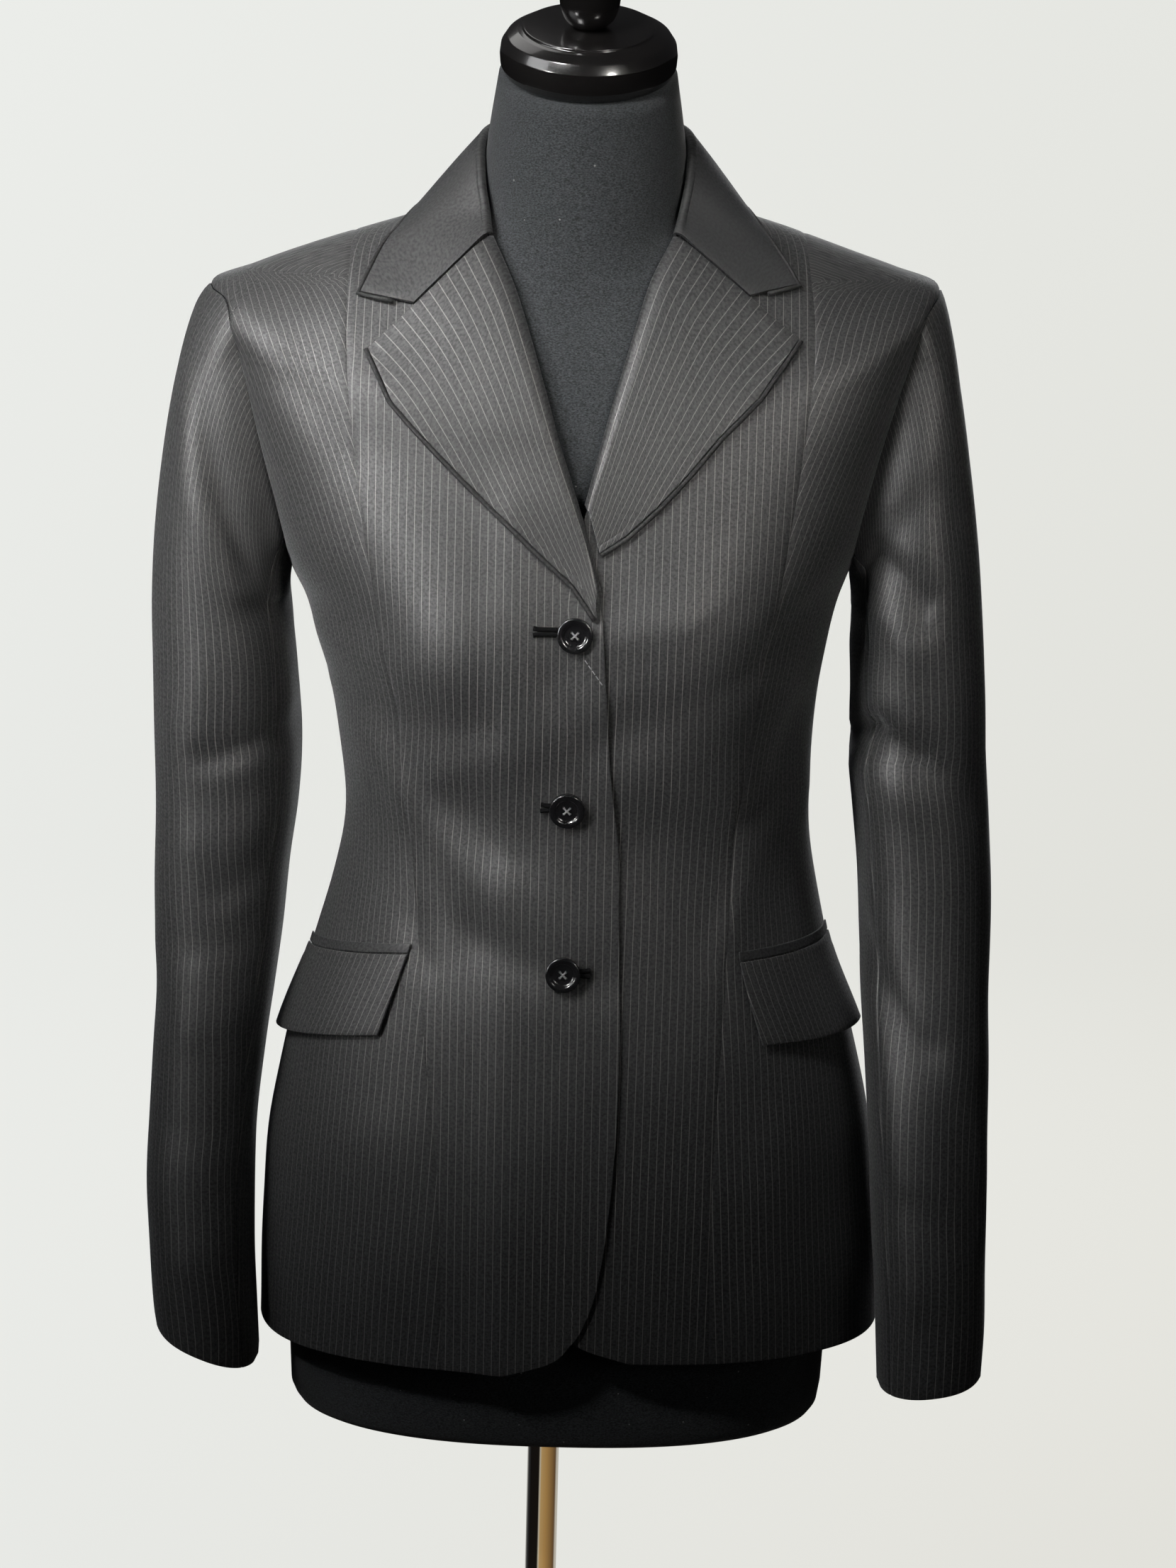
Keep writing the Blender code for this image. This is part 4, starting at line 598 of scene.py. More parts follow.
# Folds of the sleeves: from and to, each as the share of the way down and the angle round (0 outside,
# 90 front, 180 inside, 270 back), then half width, height and how much softer one side is
RIGHT_SLEEVE_FOLDS = (
    (0.020, 48, 0.115, 112, 0.011, -0.0044, 1.6), (0.060, 42, 0.155, 98, 0.012, 0.0018, 1.4),
    (0.125, 165, 0.175, 118, 0.010, -0.0026, 1.6), (0.180, 120, 0.330, 66, 0.018, 0.0012, 1.4),
    (0.330, 60, 0.560, 34, 0.018, 0.0016, 1.2), (0.355, 80, 0.335, 116, 0.0050, -0.0024, 1.9),
    (0.352, 128, 0.372, 98, 0.006, 0.0012, 1.4), (0.315, 175, 0.335, 130, 0.008, -0.0022, 1.5),
    (0.452, 74, 0.424, 120, 0.010, 0.0009, 1.5), (0.500, 96, 0.476, 124, 0.008, -0.0014, 1.6),
    (0.560, 66, 0.545, 118, 0.011, -0.0012, 1.5), (0.650, 74, 0.632, 118, 0.012, 0.0009, 1.3),
    (0.760, 64, 0.742, 126, 0.013, -0.0010, 1.6), (0.900, 74, 0.885, 116, 0.012, 0.0008, 1.3),
    (0.330, 250, 0.360, 310, 0.010, -0.0022, 1.6), (0.390, 240, 0.380, 310, 0.010, 0.0014, 1.4),
    (0.150, 230, 0.260, 300, 0.012, -0.0020, 1.6), (0.480, 235, 0.510, 300, 0.011, -0.0014, 1.6),
    (0.650, 230, 0.690, 300, 0.012, 0.0010, 1.4),
)
LEFT_SLEEVE_FOLDS = (
    (0.010, 146, 0.178, 88, 0.0070, -0.0064, 1.9), (0.050, 118, 0.120, 52, 0.012, -0.0026, 1.8),
    (0.020, 112, 0.060, 66, 0.013, 0.0018, 1.4), (0.115, 160, 0.215, 100, 0.012, 0.0024, 1.3),
    (0.326, 184, 0.304, 132, 0.0070, -0.0058, 1.6), (0.304, 132, 0.328, 94, 0.0080, -0.0044, 2.0),
    (0.328, 94, 0.376, 52, 0.010, -0.0024, 2.0), (0.215, 160, 0.280, 128, 0.014, 0.0016, 1.4),
    (0.350, 160, 0.372, 108, 0.012, 0.0020, 1.4), (0.380, 132, 0.520, 118, 0.016, 0.0012, 1.3),
    (0.520, 160, 0.640, 96, 0.011, -0.0026, 1.8), (0.640, 96, 0.810, 48, 0.013, -0.0020, 1.8),
    (0.600, 146, 0.900, 112, 0.014, 0.0018, 1.3), (0.480, 82, 0.640, 56, 0.018, 0.0010, 1.3),
    (0.800, 130, 0.815, 84, 0.010, -0.0012, 1.6), (0.915, 130, 0.930, 84, 0.010, -0.0010, 1.6),
    (0.320, 245, 0.350, 310, 0.010, -0.0024, 1.6), (0.380, 240, 0.375, 310, 0.010, 0.0014, 1.4),
    (0.160, 235, 0.270, 300, 0.012, -0.0020, 1.6), (0.500, 235, 0.520, 305, 0.011, -0.0014, 1.6),
    (0.640, 235, 0.670, 300, 0.012, 0.0010, 1.4),
)


def sleeve_tube(side, sign, loop, table):
    """Rings from the armhole down to the cuff."""
    rows = np.array(RIGHT_SLEEVE_ROWS if sign < 0 else LEFT_SLEEVE_ROWS)
    index = np.arange(len(rows), dtype=float)
    at = np.linspace(0, index[-1], SLEEVE_RINGS)
    section = {name: smooth(index, rows[:, i], at) for i, name in enumerate(SLEEVE_COLUMNS)}
    inner = np.stack([(section["inner_x"] + CLOTH) * sign, section["middle_y"], section["inner_z"]], axis=1)
    outer = np.stack([(section["outer_x"] - CLOTH) * sign, section["middle_y"], section["outer_z"]], axis=1)
    middle, arm = (inner + outer) / 2, (outer - inner) / 2
    seam = figure(loop[:, 0], loop[:, 1])
    toward = arm[0] / np.linalg.norm(arm[0])
    around = np.degrees(np.arctan2(-(seam - middle[0])[:, 1] / section["half_depth"][0],
                                   ((seam - middle[0]) @ toward) / np.linalg.norm(arm[0])))
    turn = np.radians(around)
    cosine = np.sign(np.cos(turn)) * np.abs(np.cos(turn)) ** (2 / SLEEVE_POWER)
    sine = np.sign(np.sin(turn)) * np.abs(np.sin(turn)) ** (2 / SLEEVE_POWER)
    rings = (middle[:, None] + arm[:, None] * cosine[None, :, None]
             + section["half_depth"][:, None, None] * sine[None, :, None] * np.array([0, -1, 0]))
    low = np.clip(1 - (seam[:, 2] - seam[:, 2].min()) / 0.040, 0, 1)
    sideways = np.abs(outward(loop[:, 0], loop[:, 1])[:, 0])
    stand_off = SLEEVE_STAND + CLOTH * np.maximum(sideways, 0.7) + UNDERARM_ROOM * low ** 1.2
    pull = seam + np.array([sign, 0, 0]) * stand_off[:, None] - rings[0]
    pulls = []
    for fade, times in zip(LOOP_FADE, LOOP_SOFTENING):
        evened = pull
        for _ in range(times):
            evened = evened / 2 + (np.roll(evened, 1, axis=0) + np.roll(evened, -1, axis=0)) / 4
        pulls.append(evened * fade)
    for ring_index, way in enumerate(at):
        if way < len(pulls) - 1:
            near, past = int(way), way - int(way)
            rings[ring_index] += pulls[near] * (1 - past) + pulls[near + 1] * past
    along = np.concatenate([[0], np.cumsum(np.linalg.norm(np.diff(middle, axis=0), axis=1))])
    share = (along / along[-1])[:, None]
    axis = rings - middle[:, None]
    axis /= np.linalg.norm(axis, axis=-1, keepdims=True)
    degree = SLEEVE_ROUND / 360
    metres = [(s0 * SLEEVE_LONG, a0 * degree, s1 * SLEEVE_LONG, a1 * degree, w, h, soft)
              for s0, a0, s1, a1, w, h, soft in table]
    spread = (around[None, :] % 360) * degree
    depth = folds(metres, share * SLEEVE_LONG, spread) + unevenness(share * SLEEVE_LONG, spread)
    crown_dip = ARMHOLE_DIP * np.exp(-(share / 0.005) ** 2)
    return rings + axis * (depth * ramp(share, 0.015, 0.09) - crown_dip)[..., None]


for side, sign in SIDES.items():
    rings = sleeve_tube(side, sign, armholes[side], RIGHT_SLEEVE_FOLDS if sign < 0 else LEFT_SLEEVE_FOLDS)
    around = rings.shape[1]
    front_seam, back_seam = FRONT_SEAM, around - BACK_SEAM
    if sign > 0:
        rings = rings[:, ::-1]
        front_seam, back_seam = around - 1 - front_seam, around - 1 - back_seam
    first, second = sorted((front_seam, back_seam))
    parts = {"top": np.arange(first, second + 1),
             "under": np.concatenate([np.arange(second, around), np.arange(0, first + 1)])}
    for kind, picked in parts.items():
        grid = rings[:, picked].copy()
        for border, inner in ((0, 1), (-1, -2)):
            step = grid[:, inner] - grid[:, border]
            length = np.linalg.norm(step, axis=-1, keepdims=True)
            inward = np.cross(step, np.gradient(grid[:, border], axis=0))
            inward *= (1 if border == 0 else -1) / np.linalg.norm(inward, axis=-1, keepdims=True)
            grid[:, border] += step / length * 0.0003 - inward * SEAM_DIP
        piece = cloth(f"{kind}_sleeve_{side}_cloth", grid, cut_uv(grid), worsted)
        sewn_on(piece, f"{kind}_sleeve_{side}")

# The lapels: the turned-back tops of the fronts, faced with the same striped cloth. Each rolls over the
# front's own edge and lies flat on the chest, its stripes parallel to the roll line; a fine stitched
# line runs just inside the outer edge.
RIGHT_LAPEL_EDGE = (
    (0.0130, 0.9600), (0.0000, 0.9775), (-0.0190, 0.9935), (-0.0400, 1.0130), (-0.0600, 1.0310),
    (-0.0800, 1.0500), (-0.1005, 1.0705), (-0.1140, 1.0960),
)
LEFT_LAPEL_EDGE = (
    (0.0130, 0.9945), (0.0270, 1.0040), (0.0430, 1.0190), (0.0590, 1.0365), (0.0760, 1.0570),
    (0.0960, 1.0765), (0.1170, 1.1060),
)
LAPEL_ROLL = ((-0.00045, 0.0001), (-0.00075, 0.0017), (0.0007, 0.0030))
LAPEL_SPREAD = ((0.10, 0.0044), (0.32, 0.0042), (0.58, 0.0035), (0.80, 0.0029), (1.00, 0.0026))
LAPEL_FINE = 9
STRIPE_FAN = 2.9        # how the stripes spread apart towards the top, for each metre
FACED = 0.0018          # thickness of the lapels and the collar


def lies_on_front(side, x, z, height, folded=True):
    """Points over the front that are seen at x, z, at a height over the figure."""
    spot = place(x, z)
    angle, level = spot[..., 0], spot[..., 1]
    point = coat(angle, level, height, folded)
    if side == "right":
        point = coat(angle, level, height + lap_lift(point), folded)
    return point


def between_rows(values, at):
    """A smooth curve through rows of values, read at row numbers."""
    values = np.asarray(values, float)
    return smooth(np.arange(len(values), dtype=float), values, at)


lapels = {}
for side, sign in SIDES.items():
    outer_rows = np.array(RIGHT_LAPEL_EDGE if sign < 0 else LEFT_LAPEL_EDGE)
    last = LOWER_STEPS + ROLL_STEPS
    at = np.linspace(0, len(outer_rows) - 1, (len(outer_rows) - 1) * 5 + 1)
    stations = edges[side][(last - len(outer_rows) + 1) * FINE:last * FINE + 1:FINE]
    roll = between_rows(figure(stations[:, 0], stations[:, 1])[:, [0, 2]], at)
    outer = np.stack([np.interp(at, np.arange(len(outer_rows)), outer_rows[:, i]) for i in (0, 1)], axis=1)
    width = np.linalg.norm(outer - roll, axis=1)
    knots = np.array([[(distance / wide, height) for distance, height in LAPEL_ROLL] + list(LAPEL_SPREAD)
                      for wide in width])
    steps = np.concatenate([np.linspace(0, 3, 7)[:-1], np.linspace(3, 7, 4 * LAPEL_FINE + 1)])
    share, height = (np.stack([np.interp(steps, np.arange(8), row[:, i]) for row in knots]) for i in (0, 1))
    spot = roll[:, None] + (outer - roll)[:, None] * share[..., None]
    stitched = np.abs((1 - share) * width[:, None] - 0.0035) < 0.0006
    grid = lies_on_front(side, spot[..., 0], spot[..., 1], height - 0.00022 * stitched)[::-1]
    lapels[side] = grid
    off = ((share - 0.02) * width[:, None])[::-1]
    down = np.cumsum(np.linalg.norm(np.diff(grid[:, 0], axis=0, prepend=grid[:1, 0]), axis=1))
    off = off * (1 + STRIPE_FAN * (down - down.mean()))[:, None]
    uv = np.stack([off, np.broadcast_to(down[:, None], off.shape)], axis=-1)
    if sign > 0:
        grid, uv = grid[:, ::-1], uv[:, ::-1]
    piece = cloth(f"lapel_{side}_cloth", grid, uv, worsted, FACED)
    sewn_on(piece, f"lapel_{side}")

# The collar: one strip of plain dark cloth, its stand sewn to the neckline all round and its leaf turned
# down over the back and shoulders; its front ends lie along the gorge seams and end in the notches.
# Columns: angle of the foot, the fold's x, y and z, the edge's angle and level, and how far it lies off
COLLAR_ROWS = (
    (60.0, 0.0530, -0.0330, 1.1700, 65.0, 1.0985, 0.0030),
    (70.0, 0.0560, -0.0220, 1.1850, 72.0, 1.1045, 0.0030),
    (80.0, 0.0570, -0.0090, 1.1985, 81.0, 1.1100, 0.0040),
    (90.0, 0.0565, 0.0050, 1.2065, 92.0, 1.1125, 0.0044),
    (105.0, 0.0530, 0.0220, 1.2110, 104.0, 1.1120, 0.0042),
    (120.0, 0.0460, 0.0370, 1.2135, 118.0, 1.1105, 0.0040),
    (140.0, 0.0320, 0.0515, 1.2155, 137.0, 1.1085, 0.0040),
    (160.0, 0.0165, 0.0590, 1.2165, 158.0, 1.1075, 0.0042),
    (180.0, 0.0000, 0.0610, 1.2170, 180.0, 1.1070, 0.0042),
)
COLLAR_FOOT, COLLAR_BELLY = 0.0004, 0.0004
COLLAR_ROLL = ((0.0019, 0.0015), (0.0038, -0.0008))
COLLAR_LIE, GORGE_SPREAD = (0.0030, 0.0044, 0.0046, 0.0040, 0.0030), (0.05, 0.13, 0.50)
GORGE = {"right": ((-0.0504, 1.1561), (-0.0901, 1.1194), (-0.1195, 1.1235)),
         "left": ((0.0494, 1.1587), (0.0900, 1.1275), (0.1155, 1.1330))}


def collar_half(side, sign):
    """Sections from the gorge to the centre back, each from the neckline over the fold to the edge."""
    start = edges[side][(LOWER_STEPS + ROLL_STEPS) * FINE:]
    behind = np.stack([np.linspace(90, 180, 13) * sign, np.full(13, NECK_LEVEL)], axis=1)
    neck = np.concatenate([start, behind[1:]])
    neck = coat(neck[:, 0], neck[:, 1], folded=False)
    turn = np.degrees(np.arctan2(np.abs(neck[:, 0]), -neck[:, 1]))
    first, notch, tip = (np.array(point) for point in GORGE[side])
    foot = neck[0] + (0, 0, COLLAR_FOOT * 2)
    head = lies_on_front(side, *first, COLLAR_LIE[0])
    row = [foot, (foot + head) / 2, head]
    for share, height in zip(GORGE_SPREAD, COLLAR_LIE[1:]):
        row.append(lies_on_front(side, *(first + (notch - first) * share), height))
    half = [row + [lies_on_front(side, *notch, COLLAR_LIE[-1]), lies_on_front(side, *tip, COLLAR_LIE[-1])]]
    for foot_angle, x, y, z, angle, level, lie in COLLAR_ROWS:
        fold = np.array((x * sign, y, z + LEAN * x * sign))
        foot = np.array([np.interp(foot_angle, turn, neck[:, axis]) for axis in range(3)])
        foot = foot + (0, 0, COLLAR_FOOT)
        edge = coat(angle * sign, level, lie, folded=False)
        away = (edge - fold) * (1, 1, 0)
        away /= np.linalg.norm(away)
        over, down = (fold + away * out + np.array([0, 0, up]) for out, up in COLLAR_ROLL)
        row = [foot, (foot + fold) / 2, fold, over, down]
        for share in (0.32, 0.68):
            belly = (np.array([0, 0, 1.0]) + away) * COLLAR_BELLY * math.sin(math.pi * share)
            row.append(down + (edge - down) * share + belly)
        half.append(row + [edge])
    return half


rows = np.array(collar_half("right", -1) + collar_half("left", 1)[-2::-1])
fine_rows = between_rows(rows, np.linspace(0, len(rows) - 1, (len(rows) - 1) * 5 + 1))
steps = np.concatenate([np.linspace(0, 4, 17)[:-1], np.linspace(4, 7, 25)])
collar_grid = np.stack([between_rows(row, steps) for row in fine_rows])
for k in (0, -1):       # the two short front edges are straight from corner to corner
    line = np.stack([np.interp(steps, np.arange(8), rows[k, :, i]) for i in range(3)], axis=1)
    collar_grid[k, 16:] = line[16:]
piece = cloth("collar_cloth", collar_grid[:, ::-1], cut_uv(collar_grid[:, ::-1]), dark_cloth, FACED, 0.0006)
sewn_on(piece, "collar")

# The piping: a round cord covered in the plain dark cloth, sewn along the collar's leaf edge, its short
# front edges, and the outer edges of the lapels.
CORD, CORD_GAP, CORD_SIDES = 0.0013, 0.0003, 16
piping_cloth = woven("piping cloth", (0.0020, 0.0021, 0.0023), (0.0060, 0.0062, 0.0065), 0.75, 0.04, False)


def closed_tube(name, rings, material):
    """A smooth object through rings of points, closed at both ends."""
    count, around = rings.shape[:2]
    faces = [(r * around + c, r * around + (c + 1) % around, (r + 1) * around + (c + 1) % around,
              (r + 1) * around + c) for r in range(count - 1) for c in range(around)]
    faces += [tuple(range(around))[::-1], tuple(range((count - 1) * around, count * around))]
    mesh = bpy.data.meshes.new(name)
    mesh.from_pydata((rings.reshape(-1, 3) + (POLE_ASIDE, 0, 0)).tolist(), [], faces)
    mesh.materials.append(material)
    mesh.shade_smooth()
    return in_scene(name, mesh)


def cord(name, edge, inside, radius=CORD, material=piping_cloth):
    """A round cord laid beside an edge, on the side away from the points inside it."""
    edge, inside = np.array(edge), np.array(inside)
    step = np.gradient(edge, axis=0)
    step /= np.linalg.norm(step, axis=1, keepdims=True)
    away = edge - inside
    away -= step * np.sum(away * step, axis=1, keepdims=True)
    away /= np.linalg.norm(away, axis=1, keepdims=True)
    normal = np.cross(step, away)
    spine = edge * (0, 0, 1) - (0, 0, 0.06)
    normal *= np.sign(np.sum(normal * (edge - spine), axis=1, keepdims=True))
    normal /= np.linalg.norm(normal, axis=1, keepdims=True)
    centre = edge + away * (radius + CORD_GAP) + normal * FACED / 2
    turn = np.linspace(0, 2 * math.pi, CORD_SIDES + 1)[:-1]
    rings = centre[:, None] + radius * (np.cos(turn)[None, :, None] * away[:, None]
                                        + np.sin(turn)[None, :, None] * normal[:, None])
    piece = closed_tube(name, rings, material)
    shape = bmesh.new()
    shape.from_mesh(piece.data)
    bmesh.ops.recalc_face_normals(shape, faces=shape.faces)
    shape.to_mesh(piece.data)
    shape.free()
    layer = piece.data.uv_layers.new(name="cut")
    index = np.array([loop.vertex_index for loop in piece.data.loops])
    across = index % CORD_SIDES * 2 * math.pi * CORD / CORD_SIDES
    layer.data.foreach_set("uv", np.stack([across, index // CORD_SIDES * 0.004], axis=-1).ravel())
    return piece


def fixed_to_coat(piece, node):
    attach(piece, "root")
    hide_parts(node)


for side, grid in lapels.items():
    fixed_to_coat(cord(f"piping_lapel_{side}_cord", grid[:, -1], grid[:, -6]), f"piping_lapel_{side}")
leaf, beside = collar_grid[:, -1], collar_grid[:, -5]
first_end, last_end = collar_grid[0, -6:-3], collar_grid[-1, -6:-3][::-1]
along = np.concatenate([first_end, leaf[:1], leaf[2:-2], leaf[-1:], last_end])
within = np.concatenate([
    collar_grid[4, -6:-3], (beside[:1] + collar_grid[4:5, -4]) / 2, beside[2:-2],
    (beside[-1:] + collar_grid[-5:-4, -4]) / 2, collar_grid[-5, -6:-3][::-1],
])
fixed_to_coat(cord("piping_collar_cord", along, within), "piping_collar")

# The pockets: on each hip a plain dark jet over a flap of the striped cloth, sewn into the side front
# below the waist. The flap's stripes run nearly upright, along its inner end.
FLAPS = {"right": {"top": (-0.0865, 0.7640), "bottom": (-0.1010, 0.7175),
                   "outer_top": (-86, 0.7500), "outer_bottom": (-88, 0.6990)},
         "left": {"top": (0.0955, 0.7640), "bottom": (0.1085, 0.7175),
                  "outer_top": (84, 0.7610), "outer_bottom": (86, 0.7065)}}
FLAP_OUT, FLAP_STAND, FLAP_INNER_STAND = 0.0023, 0.0050, 0.35
FLAP_STITCH_PLACE, FLAP_STITCH_HALF, FLAP_STITCH_DIP = 0.12, 0.03, 0.0002
WELT_HEIGHT, WELT_CLOTH, WELT_GAP = 0.0055, 0.00105, 0.0006
for side, sign in SIDES.items():
    flap = FLAPS[side]
    corners = [place(*flap["top"]), np.array(flap["outer_top"]),
               place(*flap["bottom"]), np.array(flap["outer_bottom"])]
    for kind, rows, columns in (("flap", 17, 41), ("welt", 6, 41)):
        u = crowded(columns)[None, :, None]
        v = np.linspace(0, 1, rows)[:, None, None]
        top = corners[0] * (1 - u) + corners[1] * u
        bottom = corners[2] * (1 - u) + corners[3] * u
        if kind == "welt":
            top, bottom = top + (0, WELT_HEIGHT + WELT_GAP), top + (0, WELT_GAP)
        plan = top * (1 - v) + bottom * v
        height = FLAP_OUT
        if kind == "flap":
            stand = FLAP_STAND * (v * (FLAP_INNER_STAND + (1 - FLAP_INNER_STAND) * u))[..., 0]
            stitched = np.abs(v[..., 0] - FLAP_STITCH_PLACE) < FLAP_STITCH_HALF
            height = FLAP_OUT + stand - FLAP_STITCH_DIP * stitched
        grid = coat(plan[..., 0], plan[..., 1], height)
        if sign > 0:
            grid = grid[:, ::-1]
        piece = cloth(f"{kind}_{side}_cloth", grid, cut_uv(grid), worsted if kind == "flap" else dark_cloth,
                      CLOTH if kind == "flap" else WELT_CLOTH)
        if kind == "flap":
            sewn_on(piece, f"flap_{side}")
        else:
            fixed_to_coat(piece, f"welt_{side}")

# The buttons: three glossy black four-hole buttons with a raised rim, each sewn with pale thread beside a
# short worked buttonhole in the right front; and the row of pale stitches below the top button.
# Columns: the button's x and z, then its buttonhole's start from there in x and z, and length
BUTTONS = (
    (0.0010, 0.9510, -0.0095, 0.0010, 0.0135), (-0.0010, 0.8540, -0.0090, 0.0, 0.0052),
    (-0.0010, 0.7610, 0.0090, 0.0, 0.0058),
)
BUTTON_RADIUS, BUTTON_THICK = 0.0098, 0.0042
RIM_STEPS = (0.14, 0.14, 0.12)      # widths of the rim's rings, as shares of the button's radius
THREAD_HOLE, THREAD_HOLE_OUT = 0.00095, 0.0025
FACING_STITCHES = np.array(((0.0072, 0.9384), (0.0176, 0.9245)))
STITCH_COUNT, STITCH_SHARE, STITCH_RADIUS = 5, 0.14, 0.00028


def glossy(name, colour, roughness, coat_weight=0.0, metallic=0.0):
    return principled(name, {"Base Color": (*colour, 1), "Roughness": roughness, "Metallic": metallic,
                             "Coat Weight": coat_weight, "Coat Roughness": 0.08})[0]


horn = glossy("black horn", (0.0045, 0.0045, 0.0050), 0.24, 0.4)
thread = glossy("dark thread", (0.0025, 0.0025, 0.0028), 0.9)
thread.node_tree.nodes["Principled BSDF"].inputs["Specular IOR Level"].default_value = 0.12
# pale thread; on the buttons its paleness is partly the thread's own colour and partly a painted glint
pale_thread = glossy("pale thread", (0.17, 0.17, 0.175), 0.5)


def join_into(piece, others):
    bpy.ops.object.select_all(action="DESELECT")
    for other in others:
        other.select_set(True)
    piece.select_set(True)
    bpy.context.view_layer.objects.active = piece
    bpy.ops.object.join()
    bpy.ops.object.select_all(action="DESELECT")


def set_in_place(piece, matrix):
    """Moves a finished piece in its own mesh, so that the object stays at the origin."""
    piece.data.transform(matrix @ piece.matrix_world)
    piece.matrix_world = Matrix.Identity(4)


for number, (x, z, hole_x, hole_z, length) in enumerate(BUTTONS, start=1):
    bpy.ops.mesh.primitive_cylinder_add(vertices=64, radius=BUTTON_RADIUS * 0.985, depth=BUTTON_THICK,
                                        location=(0, 0, BUTTON_THICK / 2))
    button = bpy.context.active_object
    button.name = f"button_{number}_horn"
    bpy.ops.object.mode_set(mode="EDIT")
    bpy.ops.mesh.select_all(action="DESELECT")
    bpy.ops.mesh.select_mode(type="FACE")
    shape = bmesh.from_edit_mesh(button.data)
    for face in shape.faces:
        face.select_set(face.normal.z > 0.9)
    bmesh.update_edit_mesh(button.data)
    for wide in RIM_STEPS:
        bpy.ops.mesh.inset(thickness=BUTTON_RADIUS * wide)
    bpy.ops.transform.translate(value=(0, 0, -BUTTON_THICK * 0.30))
    bpy.ops.object.mode_set(mode="OBJECT")
    rim = button.modifiers.new("Turned rim", "BEVEL")
    rim.width, rim.segments, rim.limit_method, rim.angle_limit = 0.0008, 4, "ANGLE", math.radians(25)
    bpy.ops.object.modifier_apply(modifier=rim.name)
    needles = []
    for turn in range(4):
        corner = math.radians(45 + 90 * turn)
        bpy.ops.mesh.primitive_cylinder_add(vertices=20, radius=THREAD_HOLE, depth=0.02, location=(
            math.cos(corner) * THREAD_HOLE_OUT, math.sin(corner) * THREAD_HOLE_OUT, 0.002))
        needles.append(bpy.context.active_object)
    join_into(needles[0], needles[1:])
    cut = button.modifiers.new("Holes", "BOOLEAN")
    cut.operation, cut.object = "DIFFERENCE", needles[0]
    bpy.context.view_layer.objects.active = button
    bpy.ops.object.modifier_apply(modifier=cut.name)
    bpy.data.objects.remove(needles[0], do_unlink=True)
    button.data.materials.append(horn)
    bpy.context.view_layer.objects.active = button
    button.select_set(True)
    bpy.ops.object.shade_smooth_by_angle(angle=math.radians(35))
    button.select_set(False)
    stitches = []
    for turn in (45, 135):
        bpy.ops.mesh.primitive_cylinder_add(vertices=12, radius=0.00055, depth=0.0052,
                                            location=(0, 0, BUTTON_THICK * 0.66),
                                            rotation=(math.pi / 2, 0, math.radians(turn - 90)))
        stitches.append(bpy.context.active_object)
    join_into(stitches[0], stitches[1:])
    # the cross of thread is pale partly by its own colour and partly as a painted glint in the button's cup
    stitches[0].data.materials.append(pale_thread)
    bpy.context.view_layer.update()
    seat = Vector(lies_on_front("right", x, z, CLOTH + 0.0006, False)) + Vector((POLE_ASIDE, 0, 0))
    spot = place(x, z)
    facing = Vector(outward(spot[0], spot[1])).to_track_quat("Z", "Y").to_matrix().to_4x4()
    for piece in (button, stitches[0]):
        set_in_place(piece, Matrix.Translation(seat) @ facing)
    join_into(button, stitches[:1])
    button.name = f"button_{number}_horn"
    fixed_to_coat(button, f"button_{number}")

    # its buttonhole: two rows of thread round a slit, with the eye at the outer end
    way = -1 if hole_x < 0 else 1
    for lip in (-1, 1):
        share = np.linspace(0, 1, 15)
        spread = 0.00125 + 0.0006 * np.exp(-((1 - share) * length / 0.0018) ** 2)
        hx = x + hole_x + way * share * length
        line = lies_on_front("right", hx, z + hole_z + lip * spread, CLOTH - 0.0002)
        worked = cord(f"buttonhole_{number}_{lip}", line, line + (0, 0.0006, 0), material=thread)
        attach(worked, "root")

# the row of pale stitches that ends the facing, below and beside the top button
run = FACING_STITCHES[1] - FACING_STITCHES[0]
for number in range(STITCH_COUNT):
    start = FACING_STITCHES[0] + run * number / STITCH_COUNT
    spot = start + run * np.linspace(0, STITCH_SHARE, 4)[:, None]
    line = lies_on_front("right", spot[:, 0], spot[:, 1], CLOTH - 0.0008)
    stitch = cord(f"facing_stitch_{number}", line, line + (0.0006, 0, 0), STITCH_RADIUS, pale_thread)
    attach(stitch, "root")

# The dress form: a limbless torso, moulded and covered in black jersey drawn tight. It fills the coat and
# shows at the neck and below the hem, where its lower edge is rounded over to the underside.
FORM_BOTTOM, FORM_HOLLOW, FORM_AROUND = 0.474, 0.0045, 128
NECK_SOFTENING = 14     # passes that even out the front between the chest and the neck
FORM_LEVELS = (
    0.486, 0.530, 0.580, 0.630, 0.680, 0.720, 0.760, 0.800, 0.840, 0.880, 0.920, 0.950, 0.975, 1.000,
    1.025, 1.045, 1.060, 1.072, 1.084, 1.098, 1.112, 1.128,
)
NECK_ROWS = (
    (1.1680, 0.0565, -0.0010, 14), (1.1880, 0.0565, -0.0020, 17),
    (1.2130, 0.0538, -0.0040, 19), (1.2438, 0.0490, -0.0060, 20),
)


KNIT_ROWS = (800, 800, 1500)        # the jersey's loops to a metre, finer upwards
LINT_SCALE, LINT_RADIUS, LINT_RARE = 160.0, 0.085, 0.80


